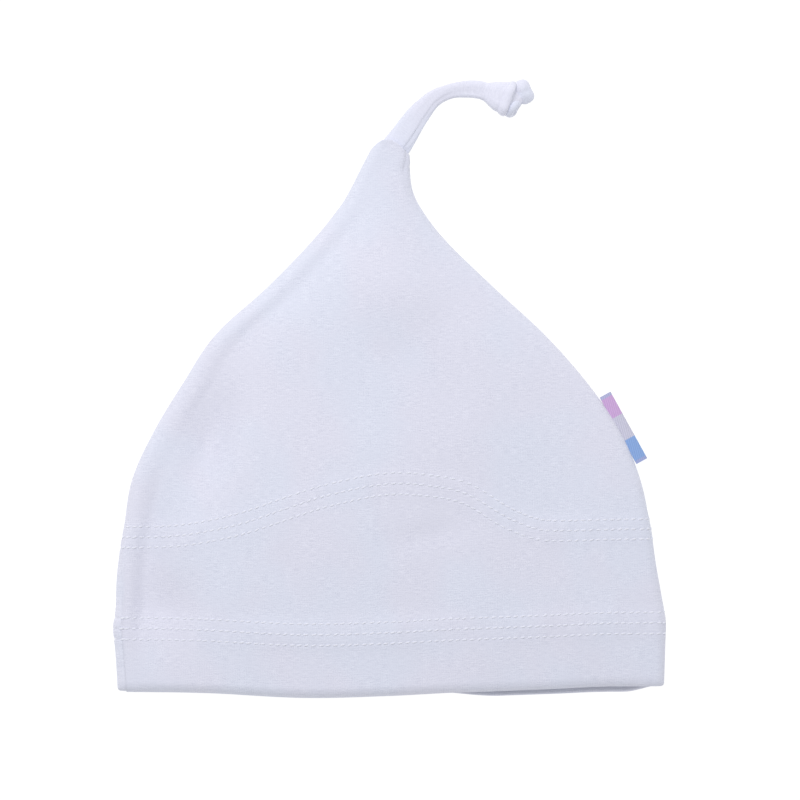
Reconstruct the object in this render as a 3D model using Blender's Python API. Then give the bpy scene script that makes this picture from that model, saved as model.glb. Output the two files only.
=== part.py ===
"""Newborn hat of white cotton interlock with a knotted tail, lying on its back.

Lengths are in metres. The hat is laid out in its own pattern coordinates, x across it, y from
the mouth to the tip and z up from the surface it lies on, and an empty then carries the whole hat
so that the origin is the middle of its footprint.

Each panel is a flat piece of cloth, a grid made thick, whose corners are then carried onto the
form of the hat: two layers joined by rounded folds at the sides, the back one flat on the surface
and the front one standing up over a hollow.
"""

import functools
import math
from collections import namedtuple

import bmesh
import bpy
from mathutils import Vector

# The hat as it lies
HEM_WIDTH = 0.1648  # across the hem at its seam
HEM_DEPTH = 0.0188  # from the mouth's edge to the hem seam
BROW_DEPTH = 0.0278  # from the hem seam to the arched seam, at the sides
ARCH_RISE = 0.0157  # how far the arched seam climbs in front
SEAM_TILT = 0.0018  # how much higher it meets the right side than the left
CROWN_HEIGHT = 0.1190  # from the arched seam's level at the sides to the open tip
TIP_ROUND = 0.0012  # how much lower the tip's edge is at its left side than in its middle
PUFF = 0.0085  # how far the front stands above the side folds
HEM_WAVE = 0.0029  # how far the mouth's edge wanders up and down
BACK_PEEK = 0.0022  # how far the back of the mouth reaches below the front, at its right

# The cloth and its sewing
CLOTH = 0.0010  # one layer of interlock
HEM_CLOTH = 0.0020  # the hem is turned double
FOLD_HOLLOW = 0.0010  # radius of the hollow inside the side folds, at the hem
SEAM_WIDTH = 0.0064  # across the three rows of stitching
SEAM_RIDGE = 0.0005  # how far the seam allowance lifts the cloth over it
SEAM_GAP = 0.0003  # between panels that are sewn edge to edge
RIDGE_FLAT = 0.8  # how far the lift is full to each side of a seam, as a share of SEAM_WIDTH / 2
RIDGE_FOOT = 1.4  # and how far it reaches

# The tail, which bends over to the right, and its knot
TAIL_REACH = 0.0289  # from the hat's middle line to where the knot begins
TAIL_RISE = 0.0159  # from the tip up to the middle of the tail's highest stretch
TAIL_TUCK = 0.0090  # how far it goes down inside the tip
TAIL_WIDTH = 0.0078  # across its roll where it leaves the tip
TAIL_FIT = 0.0003  # clear space round the tail in the tip, and in the knot's turn
DIP_SPARE = 0.0007  # the tip dips at its right by the tail's width and this
TAIL_GROOVE = 0.20  # depth of the groove beside its rolled edge, as a share of its half width
KNOT_LENGTH = 0.0072  # along the tail's flare into the knot
KNOT_WIDTH = 0.0107  # across the knot's collar
KNOT_THICK = 0.0088  # up from the surface it lies on
NECK_WIDTH = 0.0042  # through the turn of cloth that closes the knot
LOOP_THICK = 0.0021  # that turn of cloth
END_LENGTH = 0.0050  # the tail's end past the knot
END_WIDTH = 0.0070
END_THICK = 0.0046

# The woven label in the right side seam
LABEL_LENGTH = 0.0228  # along the seam
LABEL_REACH = 0.0036  # out from the seam
LABEL_RIBBON = 0.00035  # thickness of the ribbon
LABEL_BEND = 0.00055  # radius of its fold, over the ribbon's outside
LABEL_PLACE = 0.0795  # from the mouth to the label's middle, along the hat
LABEL_SEAT = 0.0003  # clear space to the side fold that it is sewn to

# How finely the pieces are cut
FRONT_COLUMNS = 18
BACK_COLUMNS = 8
FOLD_COLUMNS = 4
HEM_ROWS = 2  # rows of each panel between those that follow its edges
BROW_FRONT_ROWS = 3
BROW_BACK_ROWS = 1
CROWN_FRONT_ROWS = 19
CROWN_BACK_ROWS = 15
TAIL_SIDES = 16
TAIL_STEPS = 2  # rings of the tail for each row of its tables
LOOP_STEPS = 20  # round the knot's turn of cloth
LOOP_SIDES = 8  # and round its section
LABEL_LEGS = 3  # steps of the ribbon out from the seam, over its bend, and along it
LABEL_BENDS = 6
LABEL_STEPS = 8

HALF_WIDTH = HEM_WIDTH / 2
TIP_HALF = TAIL_WIDTH / 2 + TAIL_FIT + CLOTH  # half the width of the open tip
TIP_DIP = TAIL_WIDTH + DIP_SPARE
FOLD_RADIUS = HEM_CLOTH + FOLD_HOLLOW
SIDE_SEAM_LEVEL = HEM_DEPTH + BROW_DEPTH
TIP = SIDE_SEAM_LEVEL + CROWN_HEIGHT
DOME_EASE = 0.06  # share of the half width over which the front rises out of the side fold
WAVE_FADE = 2.0  # the mouth's wave dies out over this many brow depths above the hem seam
PEEK_START = 0.00  # where the back of the mouth begins to peek out, as a share of the half width
PEEK_RAMP = 0.30  # and over what share it comes out; it goes back in half as much
DIP_POWER = 8  # how closely the tip's dip keeps to its right end
ROUND_POWER = 6  # and its rounding to its left end
RAW_EDGE = 0.7  # how full the cloth is at the tip's cut edge
SLOPE_STEPS = 60  # the slant of the sides is read over the way to the tip divided by this

# Outline of the hat from the hem seam up to the tip. along is a share of that length, left and
# right are shares of the way out from TIP_HALF to HALF_WIDTH, puff is a share of PUFF, and turn is
# how far the left side seam has rolled onto the front, as a share of a quarter turn of the fold.
Section = namedtuple("Section", "along left right puff turn")
BODY = (
    Section(0.000, 0.998, 0.999, 0.86, 0.90),
    Section(0.116, 0.991, 0.971, 0.95, 0.66),
    Section(0.214, 0.964, 0.944, 1.00, 0.04),
    Section(0.312, 0.932, 0.906, 1.00, 0.00),
    Section(0.411, 0.846, 0.827, 0.98, 0.00),
    Section(0.509, 0.733, 0.700, 0.94, 0.00),
    Section(0.607, 0.608, 0.535, 0.86, 0.00),
    Section(0.705, 0.404, 0.334, 0.72, 0.00),
    Section(0.804, 0.223, 0.142, 0.50, 0.00),
    Section(0.870, 0.123, 0.049, 0.30, 0.00),
    Section(0.905, 0.083, 0.021, 0.19, 0.00),
    Section(0.945, 0.045, 0.012, 0.08, 0.00),
    Section(1.000, -0.001, 0.008, 0.00, 0.00),
)
# The hem, from the mouth's edge up to the hem seam, with the same columns.
HEM = (
    Section(0.0, 0.989, 1.000, 0.74, 0.92),
    Section(0.5, 0.996, 1.004, 0.79, 0.90),
    Section(1.0, 1.007, 1.007, 0.86, 0.90),
)

# Height of the arched seam over a straight line between its ends: across is a share of half the
# width there, left to right, and rise is a share of ARCH_RISE.
Rise = namedtuple("Rise", "across rise")
ARCH = (
    Rise(-1.00, 0.00),
    Rise(-0.83, 0.01),
    Rise(-0.70, 0.09),
    Rise(-0.55, 0.27),
    Rise(-0.37, 0.585),
    Rise(-0.22, 0.81),
    Rise(0.00, 1.00),
    Rise(0.16, 0.96),
    Rise(0.31, 0.78),
    Rise(0.46, 0.36),
    Rise(0.57, 0.09),
    Rise(0.68, 0.01),
    Rise(0.82, 0.00),
    Rise(1.00, 0.00),
)
# How the mouth's edge wanders, as shares of HEM_WAVE. The hem and brow follow it.
WAVE = (
    Rise(-1.00, 0.34),
    Rise(-0.69, 0.25),
    Rise(-0.33, -0.19),
    Rise(0.00, 0.03),
    Rise(0.22, 0.35),
    Rise(0.40, 0.52),
    Rise(0.62, 0.73),
    Rise(0.80, 0.93),
    Rise(1.00, 0.93),
)

# Soft dents and ridges of the front cloth: across is a share of half the hem width, along a share
# of the way from mouth to tip, long and wide are the dent's reach as shares of half the hem
# width, turn leans its long way from straight up towards the right, and height is a share of
# PUFF, negative for a dent.
Dent = namedtuple("Dent", "across along long wide turn height")
DENTS = (
    Dent(-0.790, 0.442, 0.240, 0.044, 17, -0.110),  # valley inside the left fold
    Dent(-0.010, 0.830, 0.240, 0.070, 0, 0.100),  # ridge that runs down from the tip
    Dent(0.180, 0.800, 0.160, 0.060, -35, -0.060),  # soft fall beside that ridge
    Dent(0.020, 0.620, 0.050, 0.050, 0, -0.060),  # small dimple in the crown's middle
    Dent(0.540, 0.415, 0.200, 0.150, 0, -0.090),  # slack above the arch's right foot
    Dent(0.145, 0.287, 0.100, 0.034, 80, -0.060),  # crease under the arch
    Dent(-0.870, 0.187, 0.070, 0.060, 0, -0.050),  # slack beside the left side seam
)

# The tail in three stretches: its foot inside the tip, its way out over the tip's dip, and its
# free length. reach is how far to the right of the middle line it is and rise how far above the
# tip, as shares of TIP_HALF and TAIL_TUCK in the foot, of TAIL_WIDTH on the way out, and of what is
# left of TAIL_REACH and TAIL_RISE on the free length. facing is the way it runs there in degrees
# from the right, width a share of TAIL_WIDTH, thick a share of the hollow's height in the tip, and
# lift a share of the height of the tip's middle.
Strand = namedtuple("Strand", "reach rise facing width thick lift")
TAIL_FOOT = (
    Strand(-0.18, -1.00, 90, 0.84, 0.90, 1.00),
    Strand(-0.15, -0.66, 86, 0.88, 0.96, 1.00),
)
TAIL_WAY_OUT = (
    Strand(-0.015, -0.390, 76, 0.92, 1.00, 1.00),
    Strand(0.220, -0.115, 62, 0.97, 1.00, 1.00),
    Strand(0.510, 0.180, 56, 1.00, 1.00, 0.96),
)
TAIL_FREE = (
    Strand(0.090, 0.233, 54, 0.94, 1.02, 0.86),
    Strand(0.213, 0.523, 48, 0.82, 1.04, 0.74),
    Strand(0.378, 0.811, 34, 0.64, 1.04, 0.68),
    Strand(0.571, 0.960, 15, 0.58, 1.03, 0.66),
    Strand(0.767, 1.000, 2, 0.65, 1.04, 0.74),
    Strand(0.909, 0.985, -6, 0.69, 1.10, 0.90),
)
# The flare into the knot, and the tail's end past it: ahead is a share of KNOT_LENGTH or
# END_LENGTH, up a share of the width, and width and thick are shares of the knot's or the end's.
Flare = namedtuple("Flare", "ahead up facing width thick")
KNOT = (
    Flare(0.00, -0.050, -12, 0.53, 0.55),
    Flare(0.27, -0.110, -17, 0.69, 0.72),
    Flare(0.54, -0.180, -18, 0.84, 0.87),
    Flare(0.80, -0.235, -12, 0.955, 0.96),
    Flare(0.90, -0.262, -8, 1.00, 1.00),
    Flare(0.97, -0.280, -8, 0.96, 0.96),
    Flare(1.00, -0.285, -8, 0.85, 0.85),
)
TAIL_END = (
    Flare(0.04, 0.06, -6, 0.70, 0.76),
    Flare(0.24, 0.19, -2, 0.94, 0.98),
    Flare(0.55, 0.28, 4, 1.00, 1.00),
    Flare(0.86, 0.31, 10, 0.93, 0.84),
    Flare(1.00, 0.30, 10, 0.68, 0.56),
)
GROOVE_TURN = math.radians(56)  # where the groove lies round the tail, up from its right side
GROOVE_REACH = math.radians(16)
KNOT_FACING = KNOT[-1].facing
FLAT_FACE = 0.01 * KNOT_LENGTH  # how far the flat round the neck stands off the collar's rim


def read_table(rows, place):
    """Values between a table's rows, smoothly; the first column is the place."""
    place = min(max(place, rows[0][0]), rows[-1][0])
    k = max(i for i in range(len(rows) - 1) if rows[i][0] <= place)
    start, end = rows[k], rows[k + 1]
    span = end[0] - start[0]
    t = (place - start[0]) / span
    before, after = rows[max(k - 1, 0)], rows[min(k + 2, len(rows) - 1)]
    values = []
    for c in range(1, len(start)):
        slope_in = (end[c] - before[c]) / (end[0] - before[0]) * span
        slope_out = (after[c] - start[c]) / (after[0] - start[0]) * span
        values.append(
            start[c] * (1 + 2 * t) * (1 - t) ** 2
            + slope_in * t * (1 - t) ** 2
            + end[c] * t * t * (3 - 2 * t)
            + slope_out * t * t * (t - 1)
        )
    return values


def ease(share):
    """0 to 1 with a soft start and end."""
    share = min(max(share, 0.0), 1.0)
    return share * share * (3 - 2 * share)


@functools.lru_cache(maxsize=None)
def section_at(s):
    """The hat's left edge, right edge, puff and seam turn at s from the mouth."""
    if s < HEM_DEPTH:
        left, right, puff, turn = read_table(HEM, s / HEM_DEPTH)
    else:
        left, right, puff, turn = read_table(BODY, (s - HEM_DEPTH) / (TIP - HEM_DEPTH))
    spread = HALF_WIDTH - TIP_HALF
    left_edge = -TIP_HALF - left * spread
    right_edge = TIP_HALF + right * spread
    return left_edge, right_edge, puff * PUFF, turn * math.pi / 2


@functools.lru_cache(maxsize=None)
def fold_stretch(s, side):
    """How much wider a side fold is across the hat than straight out from its slanting edge."""
    step = (TIP - HEM_DEPTH) / SLOPE_STEPS
    low = max(s - step, HEM_DEPTH + step)
    high = min(max(s, HEM_DEPTH + step) + step, TIP)
    run = section_at(high)[side] - section_at(low)[side]
    return math.hypot(1.0, run / (high - low))


def wander(across, s):
    """How far the hat's lower part is pushed up or down the surface with the mouth's edge."""
    fade = ease((s - HEM_DEPTH) / (WAVE_FADE * BROW_DEPTH))
    return HEM_WAVE * read_table(WAVE, across)[0] * (1 - fade)


def dome(across):
    """Share of the puff at a share of the half width: full in the middle, none at the folds."""
    inward = 1 - abs(across)
    return (1 - across * across) * inward / (inward + DOME_EASE)


def relief(x, s, across):
    """Height of the soft dents at a place on the front."""
    total = 0.0
    for dent in DENTS:
        dx, ds = x - dent.across * HALF_WIDTH, s - dent.along * TIP
        lean = math.radians(dent.turn)
        over = dx * math.cos(lean) - ds * math.sin(lean)
        up = dx * math.sin(lean) + ds * math.cos(lean)
        reach = (over / (dent.wide * HALF_WIDTH)) ** 2 + (up / (dent.long * HALF_WIDTH)) ** 2
        total += dent.height * PUFF * math.exp(-reach / 2)
    return total * ease((1 - abs(across)) / (2 * DOME_EASE))


def straight_seam(across):
    """The seam between the brow and the crown at the back."""
    return SIDE_SEAM_LEVEL + SEAM_TILT * (1 + across) / 2


def arch_seam(across):
    """The same seam at the front, where it climbs over the brow."""
    return straight_seam(across) + ARCH_RISE * read_table(ARCH, across)[0]


def hem_seam(across):
    return HEM_DEPTH


def mouth_front(across):
    return 0.0


def mouth_back(across):
    out = ease((across - PEEK_START) / PEEK_RAMP)
    back = ease(2 * (1 - across) / PEEK_RAMP)
    return -BACK_PEEK * out * back


def tip_edge(across):
    """The tip's edge, rounded at its left and dipping at its right, where the tail comes out."""
    dip = TIP_DIP * ((1 + across) / 2) ** DIP_POWER
    rounding = TIP_ROUND * ((1 - across) / 2) ** ROUND_POWER
    return TIP - dip - rounding


def ridge(across, s, arched):
    """How far the seam allowances lift the cloth over them."""
    reach = SEAM_WIDTH / 2
    upper = arch_seam(across) if arched else straight_seam(across)
    off = min(abs(s - hem_seam(across)), abs(s - upper))
    return SEAM_RIDGE * ease((RIDGE_FOOT * reach - off) / ((RIDGE_FOOT - RIDGE_FLAT) * reach))


def across_at(zone, share, s):
    """Where a column of a panel lies across the hat, from -1 at its left edge to 1."""
    left, right = section_at(s)[:2]
    half = (right - left) / 2
    left_fold = FOLD_RADIUS * fold_stretch(s, 0) / half
    right_fold = FOLD_RADIUS * fold_stretch(s, 1) / half
    if zone == "right":
        return 1 - right_fold * (1 - math.sin(math.pi / 2 * share))
    if zone == "left":
        return -1 + left_fold * (1 - math.sin(math.pi / 2 * share))
    return (left_fold - right_fold + share * (2 - left_fold - right_fold)) / 2


def form_point(front, zone, share, s, depth, cloth):
    """A point of the hat's form, depth below the outside of its cloth.

    zone is left or right for a side fold, where share runs from 0 at the flat of the panel to 1
    at the side seam, and flat for what lies between, where share runs from -1 to 1.
    """
    left, right, puff, seam_turn = section_at(s)
    left_fold = FOLD_RADIUS * fold_stretch(s, 0)
    right_fold = FOLD_RADIUS * fold_stretch(s, 1)
    lift = ridge({"left": -1.0, "right": 1.0}.get(zone, share), s, front) * (1 - depth / cloth)
    if zone == "flat":
        middle = (left + left_fold + right - right_fold) / 2
        x = middle + share * (right - right_fold - left - left_fold) / 2
        if front:
            z = 2 * FOLD_RADIUS - depth + puff * dome(share) + relief(x, s, share) + lift
        else:
            z = depth
        return Vector((x, s + wander(share, s), z))
    side = 1 if zone == "right" else -1
    up = 1 if front else -1
    seam = seam_turn if zone == "left" else 0.0
    seam += up * SEAM_GAP / 2 / FOLD_RADIUS
    angle = up * math.pi / 2 * (1 - share) + seam * share
    roll = FOLD_RADIUS - depth + lift * (1 + math.sin(angle)) / 2
    edge, fold = (right, right_fold) if side > 0 else (left, left_fold)
    x = edge + side * (roll * math.cos(angle) - FOLD_RADIUS) * fold / FOLD_RADIUS
    return Vector((x, s + wander(side, s), FOLD_RADIUS + roll * math.sin(angle)))


def panel_columns(front):
    """The panel's columns from its right side seam to its left one, as zone and share."""
    flat = FRONT_COLUMNS if front else BACK_COLUMNS
    right = [("right", 1 - k / FOLD_COLUMNS) for k in range(FOLD_COLUMNS)]
    middle = [("flat", 1 - 2 * k / flat) for k in range(flat + 1)]
    left = [("left", (k + 1) / FOLD_COLUMNS) for k in range(FOLD_COLUMNS)]
    return right + middle + left


# A row of a panel: a share of the way from its lower to its upper edge, plus an offset, and how
# full the cloth is there, because a turned edge closes in a half round.
Row = namedtuple("Row", "share offset full")


def mouth_rows(cloth):
    """Rows of the turned edge at the mouth, from its round up to the full thickness."""
    turns = [math.radians(a) for a in (30, 60, 90)]
    first = 1 - math.cos(turns[0])
    return [Row(0.0, cloth / 2 * (1 - math.cos(a) - first), math.sin(a)) for a in turns]


def panel_rows(foot_rows, count, head_rows):
    """A panel's rows: those at its lower edge, count rows spread evenly, those at its upper edge."""
    start, end = foot_rows[-1].offset, head_rows[0].offset
    shares = [k / (count + 1) for k in range(1, count + 1)]
    middle = [Row(t, (1 - t) * start + t * end, 1.0) for t in shares]
    return foot_rows + middle + head_rows


def make_panel(name, front, cloth, lower, upper, rows, hat, material):
    """A closed shell of cloth between two edges, each a function of the share across."""
    columns = panel_columns(front)
    lower_level, upper_level = lower(0.0), upper(0.0)
    mesh = bpy.data.meshes.new(name)
    bm = bmesh.new()
    bmesh.ops.create_grid(bm, x_segments=len(columns) - 1, y_segments=len(rows) - 1, size=0.5)
    bmesh.ops.solidify(bm, geom=bm.verts[:] + bm.edges[:] + bm.faces[:], thickness=1.0)
    middle_z = sum(v.co.z for v in bm.verts) / len(bm.verts)
    for v in bm.verts:
        zone, share = columns[round((v.co.x + 0.5) * (len(columns) - 1))]
        row = rows[round((v.co.y + 0.5) * (len(rows) - 1))]
        low = lower(across_at(zone, share, lower_level))
        high = upper(across_at(zone, share, upper_level))
        s = low + row.share * (high - low) + row.offset
        outward = 1 if v.co.z > middle_z else -1
        depth = cloth / 2 * (1 - outward * row.full)
        v.co = form_point(front, zone, share, s, depth, cloth)
    face_outward(bm)
    bm.to_mesh(mesh)
    bm.free()
    return place(name, mesh, hat, material)


def raised(edge):
    """An edge drawn half a seam gap above a seam."""
    return lambda across: edge(across) + SEAM_GAP / 2


def lowered(edge):
    """An edge drawn half a seam gap below a seam."""
    return lambda across: edge(across) - SEAM_GAP / 2


def face_outward(bm):
    """Turns the faces of a closed shell outward."""
    bmesh.ops.recalc_face_normals(bm, faces=bm.faces[:])
    if bm.calc_volume(signed=True) < 0:
        bmesh.ops.reverse_faces(bm, faces=bm.faces[:])


def place(name, mesh, hat, material, smooth_angle=40):
    """The mesh as a named object of the hat, smooth but for its sharp edges."""
    mesh.shade_smooth()
    mesh.set_sharp_from_angle(angle=math.radians(smooth_angle))
    mesh.materials.append(material)
    piece = bpy.data.objects.new(name, mesh)
    piece.parent = hat
    hat.users_collection[0].objects.link(piece)
    return piece


# One ring of the tail: where its middle is, which way it faces, and its size.
Ring = namedtuple("Ring", "centre facing wide thick")


def tail_rows():
    """The tail's rows up to the knot, with reach and rise as lengths."""
    rows = []
    for row in TAIL_FOOT:
        rows.append(row._replace(reach=row.reach * TIP_HALF, rise=row.rise * TAIL_TUCK))
    for row in TAIL_WAY_OUT:
        rows.append(row._replace(reach=row.reach * TAIL_WIDTH, rise=row.rise * TAIL_WIDTH))
    out = rows[-1]
    for row in TAIL_FREE:
        reach = out.reach + row.reach * (TAIL_REACH - out.reach)
        rise = out.rise + row.rise * (TAIL_RISE - out.rise)
        rows.append(row._replace(reach=reach, rise=rise))
    return rows


def tail_rings():
    """The tail's rings, from its foot inside the tip to its end, and where the knot's neck is."""
    hollow = 2 * (FOLD_RADIUS - CLOTH - TAIL_FIT)
    rows = [(k, *row) for k, row in enumerate(tail_rows())]
    rings = []
    for k in range(TAIL_STEPS * (len(rows) - 1) + 1):
        row = Strand(*read_table(rows, k / TAIL_STEPS))
        thick = row.thick * hollow
        lift = max(row.lift * FOLD_RADIUS, thick / 2)
        centre = Vector((row.reach, TIP + row.rise, lift))
        rings.append(Ring(centre, row.facing, row.width * TAIL_WIDTH, thick))
    start = Vector((TAIL_REACH, rings[-1].centre.y, 0))
    for row in KNOT:
        thick = row.thick * KNOT_THICK
        lift = row.thick * KNOT_THICK / 2
        centre = start + Vector((row.ahead * KNOT_LENGTH, row.up * KNOT_WIDTH, lift))
        rings.append(Ring(centre, row.facing, row.width * KNOT_WIDTH, thick))
    facing = Vector((math.cos(math.radians(KNOT_FACING)), math.sin(math.radians(KNOT_FACING)), 0))
    neck_start = rings[-1].centre + facing * FLAT_FACE
    neck_start.z = max(neck_start.z, NECK_WIDTH / 2 + TAIL_FIT + LOOP_THICK)
    neck_end = neck_start + facing * (LOOP_THICK + 2 * TAIL_FIT)
    rings.append(Ring(neck_start, KNOT_FACING, NECK_WIDTH, NECK_WIDTH))
    rings.append(Ring(neck_end, KNOT_FACING, NECK_WIDTH, NECK_WIDTH))
    for row in TAIL_END:
        centre = neck_end + Vector((row.ahead * END_LENGTH, row.up * END_WIDTH, 0))
        rings.append(Ring(centre, row.facing, row.width * END_WIDTH, row.thick * END_THICK))
    return rings, (neck_start + neck_end) / 2, facing


def tail_skin(turn):
    """The tail's radius round its section, with a groove beside its rolled right edge."""
    off = (turn - GROOVE_TURN) / GROOVE_REACH
    return 1 - TAIL_GROOVE * math.exp(-off * off)


def make_tail(hat, material):
    """The rolled tail with its knot: a drum cut into rings that are carried along its route."""
    rings = tail_rings()[0]
    mesh = bpy.data.meshes.new("tail")
    bm = bmesh.new()
    bmesh.ops.create_cone(
        bm, cap_ends=True, segments=TAIL_SIDES, radius1=1.0, radius2=1.0, depth=1.0
    )
    uprights = [e for e in bm.edges if abs(e.verts[0].co.z - e.verts[1].co.z) > 0.5]
    bmesh.ops.subdivide_edges(bm, edges=uprights, cuts=len(rings) - 2)
    for v in bm.verts:
        ring = rings[round((v.co.z + 0.5) * (len(rings) - 1))]
        facing = math.radians(ring.facing)
        aside = Vector((math.sin(facing), -math.cos(facing), 0))
        skin = tail_skin(math.atan2(v.co.y, v.co.x))
        sideways = aside * (v.co.x * skin * ring.wide / 2)
        v.co = ring.centre + sideways + Vector((0, 0, v.co.y * skin * ring.thick / 2))
    face_outward(bm)
    bm.to_mesh(mesh)
    bm.free()
    return place("tail", mesh, hat, material, smooth_angle=60)


def make_knot_loop(hat, material):
    """The turn of cloth round the knot's neck."""
    middle, facing = tail_rings()[1:]
    bpy.ops.mesh.primitive_torus_add(
        major_segments=LOOP_STEPS,
        minor_segments=LOOP_SIDES,
        major_radius=NECK_WIDTH / 2 + TAIL_FIT + LOOP_THICK / 2,
        minor_radius=LOOP_THICK / 2,
    )
    loop = bpy.context.object
    turned = Vector((0, 0, 1)).rotation_difference(facing).to_matrix().to_4x4()
    mesh = loop.data
    mesh.transform(turned)
    for v in mesh.vertices:
        v.co += middle
    mesh.name = "knot_loop"
    bpy.data.objects.remove(loop)
    return place("knot_loop", mesh, hat, material, smooth_angle=60)


def make_label(hat, material):
    """The folded ribbon: out from the side fold, round its bend and back, along the seam."""
    middle_radius = LABEL_BEND - LABEL_RIBBON / 2
    straight = LABEL_REACH - LABEL_BEND
    route = []
    for k in range(LABEL_LEGS):
        route.append((LABEL_SEAT + straight * k / LABEL_LEGS, middle_radius, 90))
    for k in range(LABEL_BENDS + 1):
        angle = 90 - 180 * k / LABEL_BENDS
        lean = math.radians(angle)
        out = LABEL_SEAT + straight + middle_radius * math.cos(lean)
        route.append((out, middle_radius * math.sin(lean), angle))
    for k in range(1, LABEL_LEGS + 1):
        route.append((LABEL_SEAT + straight * (1 - k / LABEL_LEGS), -middle_radius, -90))
    low, high = LABEL_PLACE - LABEL_LENGTH / 2, LABEL_PLACE + LABEL_LENGTH / 2
    chord = Vector((section_at(high)[1] - section_at(low)[1], high - low, 0)).normalized()
    outward = Vector((chord.y, -chord.x, 0))
    foot = Vector((section_at(LABEL_PLACE)[1], LABEL_PLACE, FOLD_RADIUS))
    bow = max(
        (Vector((section_at(s)[1], s, 0)) - foot).dot(outward)
        for s in (low + (high - low) * k / LABEL_STEPS for k in range(LABEL_STEPS + 1))
    )
    mesh = bpy.data.meshes.new("side_label")
    bm = bmesh.new()
    bmesh.ops.create_grid(bm, x_segments=len(route) - 1, y_segments=LABEL_STEPS, size=0.5)
    bmesh.ops.solidify(bm, geom=bm.verts[:] + bm.edges[:] + bm.faces[:], thickness=1.0)
    middle_z = sum(v.co.z for v in bm.verts) / len(bm.verts)
    for v in bm.verts:
        out, up, angle = route[round((v.co.x + 0.5) * (len(route) - 1))]
        half = LABEL_RIBBON / 2 * (1 if v.co.z > middle_z else -1)
        out += half * math.cos(math.radians(angle))
        up += half * math.sin(math.radians(angle))
        along = v.co.y * LABEL_LENGTH
        v.co = foot + outward * (out + bow) + chord * along + Vector((0, 0, up))
    face_outward(bm)
    bm.to_mesh(mesh)
    bm.free()
    return place("side_label", mesh, hat, material)


def make_material(name, colour, roughness):
    material = bpy.data.materials.new(name)
    material.use_nodes = True
    shader = material.node_tree.nodes["Principled BSDF"]
    shader.inputs["Base Color"].default_value = (*colour, 1.0)
    shader.inputs["Roughness"].default_value = roughness
    shader.inputs["Metallic"].default_value = 0.0
    return material


def main():
    for old in list(bpy.data.objects):
        bpy.data.objects.remove(old)
    collection = bpy.data.collections.new("newborn_hat")
    bpy.context.scene.collection.children.link(collection)
    hat = bpy.data.objects.new("hat", None)
    collection.objects.link(hat)

    crown_cotton = make_material("crown_cotton", (0.76, 0.78, 0.86), 0.92)
    brow_cotton = make_material("brow_cotton", (0.72, 0.74, 0.84), 0.92)
    hem_cotton = make_material("hem_cotton", (0.71, 0.72, 0.82), 0.92)
    woven_label = make_material("woven_label", (0.62, 0.56, 0.76), 0.60)

    steps = [0.0, RIDGE_FLAT * SEAM_WIDTH / 2, RIDGE_FOOT * SEAM_WIDTH / 2]
    above = [Row(0.0, step, 1.0) for step in steps]
    below = [Row(1.0, -step, 1.0) for step in reversed(steps)]
    tip = [Row(1.0, 0.0, RAW_EDGE)]
    above_hem, below_hem = raised(hem_seam), lowered(hem_seam)
    rows = panel_rows(mouth_rows(HEM_CLOTH), HEM_ROWS, below)
    make_panel("hem_front", True, HEM_CLOTH, mouth_front, below_hem, rows, hat, hem_cotton)
    make_panel("hem_back", False, HEM_CLOTH, mouth_back, below_hem, rows, hat, hem_cotton)
    rows = panel_rows(above, BROW_FRONT_ROWS, below)
    make_panel("brow_front", True, CLOTH, above_hem, lowered(arch_seam), rows, hat, brow_cotton)
    rows = panel_rows(above, BROW_BACK_ROWS, below)
    make_panel("brow_back", False, CLOTH, above_hem, lowered(straight_seam), rows, hat, brow_cotton)
    rows = panel_rows(above, CROWN_FRONT_ROWS, tip)
    make_panel("crown_front", True, CLOTH, raised(arch_seam), tip_edge, rows, hat, crown_cotton)
    rows = panel_rows(above, CROWN_BACK_ROWS, tip)
    make_panel("crown_back", False, CLOTH, raised(straight_seam), tip_edge, rows, hat, crown_cotton)
    make_tail(hat, crown_cotton)
    make_knot_loop(hat, crown_cotton)
    make_label(hat, woven_label)

    lowest = min(wander(k / 50 - 1, 0.0) + mouth_back(k / 50 - 1) for k in range(101))
    highest = TIP + TAIL_RISE + TAIL_WIDTH * TAIL_FREE[-2].width / 2
    hat.location = (0, -(lowest + highest) / 2, 0)


main()
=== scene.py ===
# %% [markdown]
# # A newborn hat with a knotted tail
#
# The real hat is cut from white cotton interlock, a soft double knit. It lies on its back: the back
# panels are flat on the table, and the front stands up a little over the hollow between them. Its
# tail is a roll of the same cloth that bends to the right and ends in a knot.
#
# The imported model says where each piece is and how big. This script makes the same pieces again,
# fine enough to show their sewing, and gives them their finish. The model is loaded first, and its
# own size is kept, so that the finished hat can be compared with it.

import math
from collections import namedtuple

import bpy
import numpy as np
from mathutils import Matrix, Vector, noise


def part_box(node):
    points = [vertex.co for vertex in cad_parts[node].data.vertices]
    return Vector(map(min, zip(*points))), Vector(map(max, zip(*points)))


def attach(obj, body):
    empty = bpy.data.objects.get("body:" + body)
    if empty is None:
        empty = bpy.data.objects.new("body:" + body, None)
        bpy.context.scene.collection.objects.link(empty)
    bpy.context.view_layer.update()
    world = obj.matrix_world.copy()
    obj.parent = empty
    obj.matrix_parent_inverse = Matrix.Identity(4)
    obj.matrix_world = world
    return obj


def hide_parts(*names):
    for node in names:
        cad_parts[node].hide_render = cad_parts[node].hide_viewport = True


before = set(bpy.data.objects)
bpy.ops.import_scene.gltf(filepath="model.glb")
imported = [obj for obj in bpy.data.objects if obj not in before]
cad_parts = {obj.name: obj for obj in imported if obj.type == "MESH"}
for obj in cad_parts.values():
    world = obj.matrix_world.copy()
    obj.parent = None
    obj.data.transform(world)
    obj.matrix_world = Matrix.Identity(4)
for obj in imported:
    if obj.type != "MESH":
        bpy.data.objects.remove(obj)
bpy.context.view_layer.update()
print("packed pieces:", ", ".join(sorted(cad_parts)))

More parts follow.
